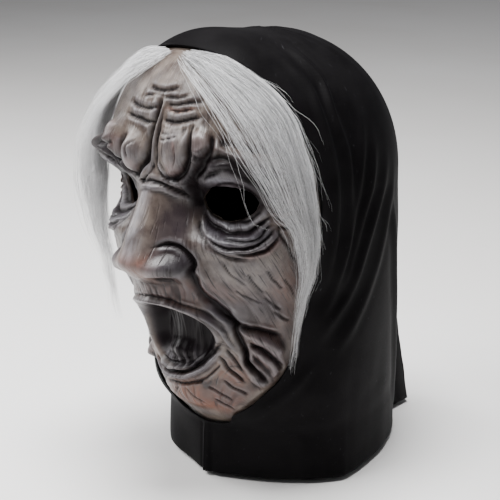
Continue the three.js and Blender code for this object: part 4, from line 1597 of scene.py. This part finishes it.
@dataclass
class Hood:
    """The stretch-cloth hood, with its face opening, drapes, throat seam and nape pleat."""

    wall: float = 1.5
    gap: float = 0.9
    columns: int = 320
    rows_below: int = 106
    rows_above: int = 84
    coarse: int = 2
    lowest: float = -210.0
    pleat_half_angle: float = 12.0
    pleat_edge: float = 3.0
    pleat_depth: float = 25.0
    pleat_top: float = -10.0
    seam_height: float = 2.2
    seam_half_angle: float = 2.4
    seam_top: float = -168.0
    seam_full: float = -182.0
    flat_width: float = 0.60
    flat_length: float = 0.42
    flat_area: float = 0.14

    FADE_FROM = 62.0
    FADE_TO = 86.0
    # y, z of the cloth's front edge in side view, from over the brow to the throat
    EDGE = (
        (-76, 30), (-76, 2), (-63, -12), (-50, -42), (-42, -82), (-38, -120), (-41, -165),
        (-46, -205), (-51, -224), (-60, -240), (-64, -256), (-60, -268), (-66, -276), (-96, -280),
    )
    EDGE_STEPS = 12
    EDGE_SLIDES = 8
    EDGE_SEED_DEPTH = 20.0
    CUT_FRONT = -220.0
    RIPPLE_SEED = 51
    # height in mm, then the width in degrees and the length in levels of one ripple
    UPRIGHT_RIPPLE = (0.35, 9.0, 70.0)
    LEVEL_RIPPLE = (0.5, 22.0, 14.0)
    # depth in mm, degrees from the throat, width in degrees
    SEAM_GROOVES = ((1.6, 0.0, 0.5), (0.7, 4.6, 1.2))
    # height in mm, angle and width in degrees of the loose cloth beside the throat
    FULLNESS = (8.0, 302.0, 26.0)
    FADED_END = 0.25
    SHORTEST_OPENING = 50.0

    def edge_line(self) -> Array:
        """The front edge as a fine line of y and z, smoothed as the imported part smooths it."""
        knots = np.array(self.EDGE, float)
        padded = with_ends(knots)
        line = []
        for i in range(len(knots) - 1):
            p = padded[i : i + 4]
            gaps = np.linalg.norm(np.diff(p, axis=0), axis=1) ** 0.5
            before, span, after = gaps
            start_slope = (p[1] - p[0]) / before - (p[2] - p[0]) / (before + span) + (p[2] - p[1]) / span
            end_slope = (p[2] - p[1]) / span - (p[3] - p[1]) / (span + after) + (p[3] - p[2]) / after
            for t in np.arange(self.EDGE_STEPS) / self.EDGE_STEPS:
                line.append(
                    p[1] * (2 * t**3 - 3 * t**2 + 1)
                    + span * start_slope * (t**3 - 2 * t**2 + t)
                    + p[2] * (3 * t**2 - 2 * t**3)
                    + span * end_slope * (t**3 - t**2)
                )
        line.append(knots[-1])
        return np.array(line)

    def relief(self, angle: Array, level: Array) -> Array:
        """The folds of the cloth.

        Args:
            angle: Angles in degrees, from 0 to 360.
            level: Levels.

        Returns:
            Heights off the form in mm.
        """
        from_nape = np.abs(np.mod(angle, 360.0) - 180.0)
        side = 180.0 - from_nape
        ripple = LatticeNoise(self.RIPPLE_SEED)
        fade = 1.0 - smooth_step(self.FADE_FROM, self.FADE_TO, level)
        height = np.zeros_like(angle)
        for row in HOOD_FOLDS:
            distance, share = row.measure(side, level)
            ends = faded_ends(share, self.FADED_END)
            valley = bell(distance - 2.0 * row.width, row.width)
            height += row.height * fade * ends * (bell(distance, row.width) - 0.25 * valley)
        high, wide, long = self.UPRIGHT_RIPPLE
        height += high * ripple.at(side / wide, level / long + 5.0) * smooth_step(30.0, 70.0, side)
        high, wide, long = self.LEVEL_RIPPLE
        height += high * ripple.at(side / wide + 13.0, level / long) * smooth_step(-100.0, -160.0, level)
        opening = np.clip((level - self.pleat_top) / (self.lowest - self.pleat_top), 0.0, 1.0)
        inside = 1.0 - smooth_step(self.pleat_half_angle, self.pleat_half_angle + self.pleat_edge, from_nape)
        height += self.pleat_depth * opening * inside
        seam = smooth_step(self.seam_top, self.seam_full, level)
        height += self.seam_height * seam * bell(side, self.seam_half_angle)
        for depth, place, width in self.SEAM_GROOVES:
            height -= depth * seam * bell(side - place, width)
        high, middle, wide = self.FULLNESS
        fullness = high * smooth_step(-150.0, self.lowest, level)
        height += fullness * bell(np.mod(angle, 360.0) - middle, wide)
        return height

    def opening_depth(self, angle: Array, level: Array) -> Array:
        """How deep places lie inside the face opening, in side view.

        Args:
            angle: Angles in degrees.
            level: Levels.

        Returns:
            Distances from the edge in mm, below zero on the cloth.
        """
        points = FORM.raised(angle, level, np.full(np.shape(angle), self.gap + self.wall))
        y, z = points[..., 1], points[..., 2]
        line = self.edge_line()
        outline = np.vstack([[self.CUT_FRONT, line[0, 1]], line, [self.CUT_FRONT, line[-1, 1]]])
        inside = np.zeros(y.shape, dtype=bool)
        for (y0, z0), (y1, z1) in zip(outline, np.roll(outline, -1, axis=0)):
            if z0 == z1:
                continue
            inside ^= ((z0 > z) != (z1 > z)) & (y < (y1 - y0) * (z - z0) / (z1 - z0) + y0)
        nearest = np.full(y.shape, np.inf)
        for (y0, z0), (y1, z1) in zip(line[:-1], line[1:]):
            run_y, run_z = y1 - y0, z1 - z0
            length = max(run_y**2 + run_z**2, 1e-9)
            t = np.clip(((y - y0) * run_y + (z - z0) * run_z) / length, 0.0, 1.0)
            nearest = np.minimum(nearest, np.hypot(y - y0 - t * run_y, z - z0 - t * run_z))
        return np.where(inside, nearest, -nearest)

    def to_edge(self, angle: Array, level: Array) -> tuple[Array, Array]:
        """Slides places over the form until they lie on the edge of the face opening.

        Args:
            angle: Angles of places near the edge, in degrees.
            level: Their levels.

        Returns:
            The moved angles and levels.
        """
        nudge = 0.2
        for _ in range(self.EDGE_SLIDES):
            depth = self.opening_depth(angle, level)
            slope_angle = (self.opening_depth(angle + nudge, level) - depth) / nudge
            slope_level = (self.opening_depth(angle, level + nudge) - depth) / nudge
            step = -depth / np.maximum(slope_angle**2 + slope_level**2, 0.01)
            angle = angle + np.clip(step * slope_angle, -1.5, 1.5)
            level = level + np.clip(step * slope_level, -1.5, 1.5)
        return angle, np.maximum(level, self.lowest)

    def lay(self, columns: int, rows_below: int, rows_above: int) -> tuple[Array, Array, Array]:
        """Spreads places over the bell, opens the face and draws the edge's places onto it.

        Args:
            columns: Places along a row.
            rows_below: Rows under the dome's foot.
            rows_above: Rows over it, the last at the crown.

        Returns:
            Angles and levels, each ending with the crown's, and the four-cornered faces.
        """
        around = np.arange(columns) * 360.0 / columns
        levels = [np.full(columns, level) for level in np.linspace(self.lowest, 0.0, rows_below)]
        for share in np.arange(1, rows_above) / rows_above:
            levels.append(FORM.dome_levels(around, share, 90.0))
        level = np.array(levels)
        angle = np.broadcast_to(around, level.shape).copy()
        inside = self.opening_depth(angle, level) > 0.0
        front = np.zeros_like(inside)
        front[np.argmin(np.abs(level[:, 0] + self.EDGE_SEED_DEPTH)), 0] = True
        inside = reached(front, inside)
        nape = np.zeros_like(inside)
        nape[0, columns // 2] = True
        inside = ~reached(nape, ~inside)
        faces = grid_faces(columns, len(levels), 0, True)
        faces = faces[~inside.reshape(-1)[faces].all(axis=1)]
        angle, level = angle.reshape(-1), level.reshape(-1)
        pull = inside.reshape(-1) & np.isin(np.arange(len(angle)), faces)
        angle[pull], level[pull] = self.to_edge(angle[pull], level[pull])
        return np.append(angle, 0.0), np.append(level, 90.0), faces

    def build(self) -> bpy.types.Object:
        """Builds the hood and its knit map.

        Returns:
            The finished piece without a material.
        """
        step = self.coarse
        sizes = ((self.columns, self.rows_below, self.rows_above),)
        sizes += ((self.columns // step, (self.rows_below - 1) // step + 1, self.rows_above // step),)
        points, angles, parts, loops, count = [], [], [], [], 0
        for (columns, below, above), lift in zip(sizes, (self.gap + self.wall, self.gap)):
            angle, level, faces = self.lay(columns, below, above)
            points.append(FORM.raised(angle, level, lift + self.relief(angle, level)))
            angles.append(angle)
            last = len(angle) - 1 - columns
            ring = last + np.arange(columns)
            cap = np.stack([ring, np.roll(ring, -1), np.full(columns, len(angle) - 1)], axis=-1)
            parts += [faces + count, cap + count]
            loops.append([[k + count for k in loop] for loop in open_loops(faces)])
            count += len(angle)
        points, angles = np.vstack(points), np.concatenate(angles)
        parts.append(self.rims(points, *loops))
        keep, parts = used_only(points, parts)
        piece = piece_from_mesh("hood_cloth", points[keep], parts)
        across = np.abs(np.mod(angles, 360.0) - 180.0) * SKIN_MM_PER_DEGREE
        set_map(piece.data, "knit", across[keep], points[keep, 2])
        return piece

    def rims(self, points: Array, outer: list[list[int]], inner: list[list[int]]) -> Array:
        """Closes the wall at the face opening and along the hem.

        Args:
            points: All the points of both skins.
            outer: The open loops of the outer skin.
            inner: The open loops of the inner skin.

        Returns:
            Triangles between the skins.
        """
        hem_height = FORM.DOME_FOOT + self.lowest + 1.0
        round_axis = np.arctan2(points[:, 0], -points[:, 1])
        front = np.arctan2(points[:, 2] - FORM.DOME_FOOT + self.EDGE_SEED_DEPTH / 2.0, points[:, 0])
        strips = []
        for at_hem, turns in ((True, round_axis), (False, front)):
            pair = []
            for loops in (outer, inner):
                fit = [loop for loop in loops if self.is_rim(points[loop, 2], hem_height, at_hem)]
                pair.append(max(fit, key=len))
            strips += zip_loops(*pair, turns)
        return np.array(strips)

    def is_rim(self, heights: Array, hem_height: float, at_hem: bool) -> bool:
        """Whether a loop is the hem, or the face opening: neither is the ring about the crown."""
        if at_hem:
            return heights.max() < hem_height
        return heights.max() >= hem_height and np.ptp(heights) > self.SHORTEST_OPENING


# The hair


class StrandMaker:
    """A geometry node tree that turns bare strand lines into tapered fibres."""

    def __init__(self, material: bpy.types.Material) -> None:
        """Draws the tree once, for fibres of one material."""
        self.tree = bpy.data.node_groups.new("strand_maker", "GeometryNodeTree")
        face = self.tree.interface
        face.new_socket(name="Geometry", in_out="INPUT", socket_type="NodeSocketGeometry")
        add_numbers(self.tree, {"Strand Radius": 0.00012, "Frizz": 0.0006, "Frizz Scale": 60.0, "Sides": 3})
        face.new_socket(name="Geometry", in_out="OUTPUT", socket_type="NodeSocketGeometry")
        self._draw(material)

    def _draw(self, material: bpy.types.Material) -> None:
        """Adds the nodes."""
        draw = Sketch(self.tree)
        given = draw.add("NodeGroupInput").outputs
        thickness, loose = (
            draw.add("GeometryNodeInputNamedAttribute", {"Name": name}, data_type="FLOAT")
            for name in ("thickness", "loose")
        )
        noise = draw.add("ShaderNodeTexNoise", {"Scale": given["Frizz Scale"], "Detail": 1.0})
        halved = {0: noise.outputs["Color"], 1: (0.5, 0.5, 0.5)}
        centred = draw.add("ShaderNodeVectorMath", halved, operation="SUBTRACT")
        amount = draw.add("ShaderNodeMath", {0: given["Frizz"], 1: loose}, operation="MULTIPLY")
        offset = draw.add("ShaderNodeVectorMath", {0: centred, "Scale": amount}, operation="SCALE")
        moved = draw.add("GeometryNodeSetPosition", {"Geometry": given["Geometry"], "Offset": offset})
        curves = draw.add("GeometryNodeMeshToCurve", {"Mesh": moved})
        radius = draw.add("ShaderNodeMath", {0: thickness, 1: given["Strand Radius"]}, operation="MULTIPLY")
        tapered = draw.add("GeometryNodeSetCurveRadius", {"Curve": curves, "Radius": radius})
        circle = {"Resolution": given["Sides"], "Radius": 1.0}
        ring = draw.add("GeometryNodeCurvePrimitiveCircle", circle, mode="RADIUS")
        sweep = {"Curve": tapered, "Profile Curve": ring, "Fill Caps": True}
        tubes = draw.add("GeometryNodeCurveToMesh", sweep)
        if "Scale" in tubes.inputs:
            self.tree.links.new(radius.outputs[0], tubes.inputs["Scale"])
        smooth = draw.add("GeometryNodeSetShadeSmooth", {"Geometry": tubes})
        real = draw.add("GeometryNodeRealizeInstances", {"Geometry": smooth})
        dressed = draw.add("GeometryNodeSetMaterial", {"Geometry": real, "Material": material})
        draw.add("NodeGroupOutput", {"Geometry": dressed})

    def grow(self, lines: bpy.types.Object, values: dict[str, float]) -> bpy.types.Object:
        """Turns an object of strand lines into a plain mesh of fibres.

        Args:
            lines: An object whose mesh is bare edges with thickness, loose and tone on its points.
            values: Values of the tree's inputs, by name.

        Returns:
            The same object with its fibres as a plain mesh.
        """
        modifier = lines.modifiers.new("strands", "NODES")
        modifier.node_group = self.tree
        for item in self.tree.interface.items_tree:
            if item.item_type == "SOCKET" and item.in_out == "INPUT" and item.name in values:
                modifier[item.identifier] = values[item.name]
        depsgraph = bpy.context.evaluated_depsgraph_get()
        fibres = bpy.data.meshes.new_from_object(lines.evaluated_get(depsgraph))
        lines.modifiers.remove(modifier)
        fibres.name = lines.name
        lines.data = fibres
        return lines


@dataclass(frozen=True)
class StrandLayer:
    """One layer of a fall: how many strands, how deep they lie and where they start and end."""

    name: str
    count: int
    depth_low: float
    depth_high: float
    root_low: float
    root_high: float
    end_low: float
    end_high: float
    radius: float
    crowd: float = 1.0
    front: float = 0.0
    curl: float = 0.03
    spread: float = 0.0
    tone_low: float = 0.2
    tone_high: float = 1.0
    points: int = 19


@dataclass
class HairFall:
    """A fall of long hair from the parting to its tips, on one side of the face."""

    name: str
    rows: tuple[tuple[float, ...], ...]
    layers: tuple[StrandLayer, ...]
    seed: int
    # share by which every tone is lifted towards white: painted light on the far fall
    white: float = 0.0
    gap: float = 0.4
    locks: int = 6
    tufts: int = 3

    # how far a tip past the last row drops, in mm for each share
    TIP_DROP = 150.0
    SHORTEST_SHARE = 0.15
    # how uneven the locks are, as a share of one, and how fast that changes across the fall
    LOCK_WOBBLE, WOBBLE_TURNS = 0.35, 23.0
    # how far strands are drawn to the middle of their tuft, then of their lock
    TUFT_PULL, LOCK_PULL = 0.88, 0.35
    GROWTH = {"Strand Radius": 0.001, "Frizz": 0.004, "Frizz Scale": 55.0}

    def place(self, across: Array, down: Array, deep: Array, out: Array) -> Array:
        """Points in the fall.

        Args:
            across: Shares of the way from the front boundary to the back one.
            down: Shares of the way from the parting to the tips.
            deep: Shares of the way through the fall's thickness.
            out: Extra distance off the skin, in mm.

        Returns:
            Points in mm.
        """
        last = len(self.rows) - 1
        table = tuple((i / last, *row) for i, row in enumerate(self.rows))
        front_angle, front_level, back_angle, back_level, stand_off, depth = profiles(table)
        over = np.maximum(down - 1.0, 0.0)
        angle = front_angle.at(down) * (1.0 - across) + back_angle.at(down) * across
        level = front_level.at(down) * (1.0 - across) + back_level.at(down) * across
        level = level - over * self.TIP_DROP
        height = self.gap + stand_off.at(down) + depth.at(down) * deep + out
        return FORM.raised(angle, level, height)

    def lines(self, layer: StrandLayer, rng: np.random.Generator) -> tuple[Array, Array, Array, Array]:
        """Lays the strand lines of one layer.

        Args:
            layer: The layer.
            rng: The fall's random numbers.

        Returns:
            Points, thickness, looseness and tone, each with strands along the first axis.
        """
        count = layer.count
        share = np.linspace(0.0, 1.0, layer.points)[None, :]
        start = rng.uniform(layer.root_low, layer.root_high, count)[:, None]
        end = rng.uniform(layer.end_low, layer.end_high, count)[:, None]
        down = start + (np.maximum(end, start + self.SHORTEST_SHARE) - start) * share
        home = rng.random(count)[:, None] ** layer.crowd
        bent = home + self.LOCK_WOBBLE / self.locks * np.sin(home * self.WOBBLE_TURNS + self.seed)
        lock = (np.floor(bent * self.locks) + 0.5) / self.locks
        parts = self.locks * self.tufts
        tuft = (np.floor(bent * parts) + rng.uniform(0.35, 0.65, (count, 1))) / parts
        gather = self.TUFT_PULL * smooth_step(0.02, 0.6, share)
        across = home * (1.0 - gather) + tuft * gather
        across = across + self.LOCK_PULL * (lock - across) * smooth_step(0.3, 1.0, share)
        sway = rng.uniform(0.0, 2.0 * math.pi, (count, 1))
        wave = rng.uniform(1.5, 3.5, (count, 1))
        across = across + layer.curl * np.sin(sway + wave * down * math.pi) * share
        fan = np.clip(rng.normal(0.0, 1.0, (count, 1)), -2.0, 2.0) * layer.spread
        across = across + fan * smooth_step(0.35, 1.0, share) ** 2
        bare = layer.front * smooth_step(0.02, 0.35, down)
        across = bare + (1.0 - bare) * across
        deep = rng.uniform(layer.depth_low, layer.depth_high, (count, 1)) * np.ones_like(share)
        round_lock = np.cos(2.0 * math.pi * (bent * self.locks - 0.5))
        round_tuft = np.cos(2.0 * math.pi * (bent * parts - 0.5))
        deep = deep * (0.7 + 0.22 * round_lock + 0.08 * round_tuft)
        lift = np.clip(np.abs(rng.normal(0.0, 1.0, (count, 1))), 0.0, 2.0)
        out = lift * (0.5 + 9.0 * layer.spread) * share**1.5
        points = self.place(across, down, deep, out)
        thickness = layer.radius * rng.uniform(0.7, 1.3, (count, 1)) * (1.0 - 0.75 * share**3)
        loose = 0.3 + share * rng.uniform(0.4, 2.0, (count, 1))
        lock_tone = 0.5 + 0.5 * np.sin(np.floor(bent * parts) * 2.4 + self.seed)
        tone = rng.uniform(layer.tone_low, layer.tone_high, (count, 1)) * (0.75 + 0.25 * lock_tone)
        # the lift towards white is painted light
        tone = (self.white + (1.0 - self.white) * tone) * np.ones_like(share)
        return points, thickness, loose, tone

    def build(self, maker: StrandMaker) -> list[bpy.types.Object]:
        """Grows each layer as a piece.

        Args:
            maker: The tree that turns lines into fibres.

        Returns:
            The pieces, one for each layer.
        """
        pieces = []
        for number, layer in enumerate(self.layers):
            rng = np.random.default_rng(self.seed + number)
            points, *values = self.lines(layer, rng)
            count, length = points.shape[:2]
            index = np.arange(count * length).reshape(count, length)
            edges = np.stack([index[:, :-1], index[:, 1:]], axis=-1).reshape(-1, 2)
            mesh = bpy.data.meshes.new(f"{self.name}_{layer.name}")
            mesh.from_pydata((points.reshape(-1, 3) * MM).tolist(), edges.tolist(), [])
            for label, value in zip(("thickness", "loose", "tone"), values):
                set_mask(mesh, label, np.broadcast_to(value, (count, length)).reshape(-1))
            pieces.append(maker.grow(placed(mesh), self.GROWTH))
        return pieces


# front angle, front level, back angle, back level, distance off the skin, thickness
LEFT_FALL_ROWS = (
    (-3, 57, 6, 59.5, 0, 2.5),
    (6, 46, 23, 56, 1.8, 5),
    (16, 32, 39, 46, 5, 6),
    (27, 16, 52, 32, 10, 6),
    (38, 5, 58, 13, 10, 6),
    (47, -8, 61, -6, 7, 6),
    (53, -32, 62, -36, 6, 5),
    (55, -60, 60, -64, 4, 4),
    (54.5, -92, 56.5, -93, 3, 2.5),
)
RIGHT_FALL_ROWS = (
    (-4.5, 57, -11, 59, 0, 2.5),
    (-7, 44, -24, 55, 1.8, 4),
    (-14, 29, -39, 45, 4, 5),
    (-25, 14, -51, 30, 10, 6),
    (-36, 2, -58, 11, 16, 7),
    (-42, -14, -61, -8, 19, 7),
    (-46, -36, -60, -36, 22, 6),
    (-49, -60, -58, -62, 23, 5),
    (-52, -88, -55, -89, 23, 3),
)
# name, count, then low and high of depth, root and end, radius
LAYERS = (
    # the under layer's dark tones are painted shade inside the fall
    StrandLayer(
        "under", 150, 0.0, 0.4, 0.0, 0.12, 0.4, 0.84, 0.12,
        crowd=0.5, front=0.76, tone_low=0.0, tone_high=0.25,
    ),
    StrandLayer(
        "top", 380, 0.3, 1.3, 0.0, 0.25, 0.4, 0.93, 0.09,
        crowd=0.38, front=0.56, curl=0.08, spread=0.1, tone_low=0.1,
    ),
    StrandLayer(
        "wisps", 260, 0.1, 1.0, 0.0, 0.2, 0.3, 1.0, 0.075,
        crowd=0.6, front=0.1, curl=0.1, spread=0.1, tone_low=0.4,
    ),
    StrandLayer(
        "loose", 250, 0.5, 1.6, 0.1, 0.6, 0.45, 1.18, 0.075,
        front=0.2, curl=0.2, spread=0.3, tone_low=0.5,
    ),
)


# The studio


@dataclass
class Studio:
    """A pale floor, soft lights and a camera at the photograph's angle."""

    azimuth: float = 42.0
    elevation: float = 17.5
    distance: float = 1.0
    target: tuple[float, float, float] = (0.0, -0.013, -0.154)
    focal_pixels: float = 1397.0
    frame_pixels: float = 500.0
    sensor: float = 36.0
    floor_clearance: float = 0.004
    floor_half_size: float = 6.0
    ambient: float = 0.22

    def camera(self) -> None:
        """Places the camera."""
        data = bpy.data.cameras.new("camera")
        data.sensor_width = self.sensor
        data.lens = self.focal_pixels / self.frame_pixels * self.sensor
        data.clip_start = 0.05
        bpy.context.scene.camera = self.hang(data, self.azimuth, self.elevation, self.distance)

    def hang(self, data: bpy.types.ID, azimuth: float, elevation: float, distance: float) -> bpy.types.Object:
        """Places a camera or a light so that it looks at the target.

        Args:
            data: The camera or light.
            azimuth: Its turn round the part in degrees, from the front towards +X.
            elevation: Its height over the target in degrees.
            distance: Its distance from the target in metres.

        Returns:
            Its object.
        """
        thing = placed(data)
        turn, tilt = math.radians(azimuth), math.radians(elevation)
        way = np.array([math.sin(turn) * math.cos(tilt), -math.cos(turn) * math.cos(tilt), math.sin(tilt)])
        thing.location = np.array(self.target) + distance * way
        thing.rotation_euler = (math.pi / 2.0 - tilt, 0.0, turn)
        return thing

    def floor(self, lowest: float, effects: SharedEffects) -> bpy.types.Object:
        """Lays the floor just under the hem.

        Args:
            lowest: The height of the hem, in metres.
            effects: The shared shader groups.

        Returns:
            The floor.
        """
        half, z = self.floor_half_size, lowest - self.floor_clearance
        mesh = bpy.data.meshes.new("floor")
        corners = [(-half, -half, z), (half, -half, z), (half, half, z), (-half, half, z)]
        mesh.from_pydata(corners, [], [(0, 1, 2, 3)])
        material, draw = new_material("pale_floor")
        solid = draw.add("ShaderNodeTexCoord").outputs["Object"]
        mottle = draw.group(effects.mottle, {"Vector": solid, "Blotch Scale": 1.5})
        colour = draw.mix(mottle["Mask"], srgb(222, 220, 218), srgb(228, 227, 226))
        draw.close({"Base Color": colour, "Roughness": 0.7})
        mesh.materials.append(material)
        return placed(mesh)

    def lights(self) -> None:
        """Hangs the soft boxes and sets the ambient light."""
        # name, size, watts, azimuth, elevation, distance
        boxes = (
            ("key", 0.8, 26.0, -24.0, 50.0, 1.5),
            ("far_fill", 0.8, 16.0, -78.0, 24.0, 1.5),
            ("near_fill", 1.0, 0.5, 70.0, 20.0, 1.8),
            ("top", 0.6, 44.0, 30.0, 84.0, 1.2),
        )
        for name, size, watts, azimuth, elevation, distance in boxes:
            data = bpy.data.lights.new(name, "AREA")
            data.shape = "DISK"
            data.size = size
            data.energy = watts
            self.hang(data, azimuth, elevation, distance)
        world = bpy.data.worlds.new("studio_air")
        world.use_nodes = True
        air = world.node_tree.nodes["Background"].inputs
        air["Color"].default_value = srgb(226, 226, 230)
        air["Strength"].default_value = self.ambient
        bpy.context.scene.world = world


def dress(piece: bpy.types.Object, material: bpy.types.Material, slot: str, node: str) -> None:
    """Gives a piece its material, body and place in the part.

    Args:
        piece: The piece.
        material: Its material.
        slot: The record's material slot.
        node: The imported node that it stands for.
    """
    if not piece.data.materials:
        piece.data.materials.append(material)
    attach(piece, "root")
    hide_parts(node)
    log.info("%s: %d faces, slot %s, stands for %s", piece.name, len(piece.data.polygons), slot, node)


def main() -> None:
    """Builds the mask in order: studio, latex face, hood and hair."""
    logging.basicConfig(level=logging.INFO, format="%(name)s: %(message)s")
    packed_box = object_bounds()
    studio = Studio()
    studio.camera()
    studio.lights()
    effects = SharedEffects()

    face = FaceShell().build()
    dress(face, LatexFinish().material(effects), "latex", "face_shell")

    hood_maker = Hood()
    hood = hood_maker.build()
    dress(hood, ClothFinish().material(effects), "cloth", "hood")

    hair_material = HairFinish().material(effects)
    maker = StrandMaker(hair_material)
    falls = (
        HairFall("hair_left", LEFT_FALL_ROWS, LAYERS, 301),
        # the far fall's tones are lifted halfway towards white: painted light
        HairFall("hair_right", RIGHT_FALL_ROWS, LAYERS, 401, 0.5),
    )
    for fall in falls:
        for piece in fall.build(maker):
            dress(piece, hair_material, "hair", fall.name)

    floor = studio.floor(packed_box[0][2], effects)


if __name__ == "__main__":
    main()
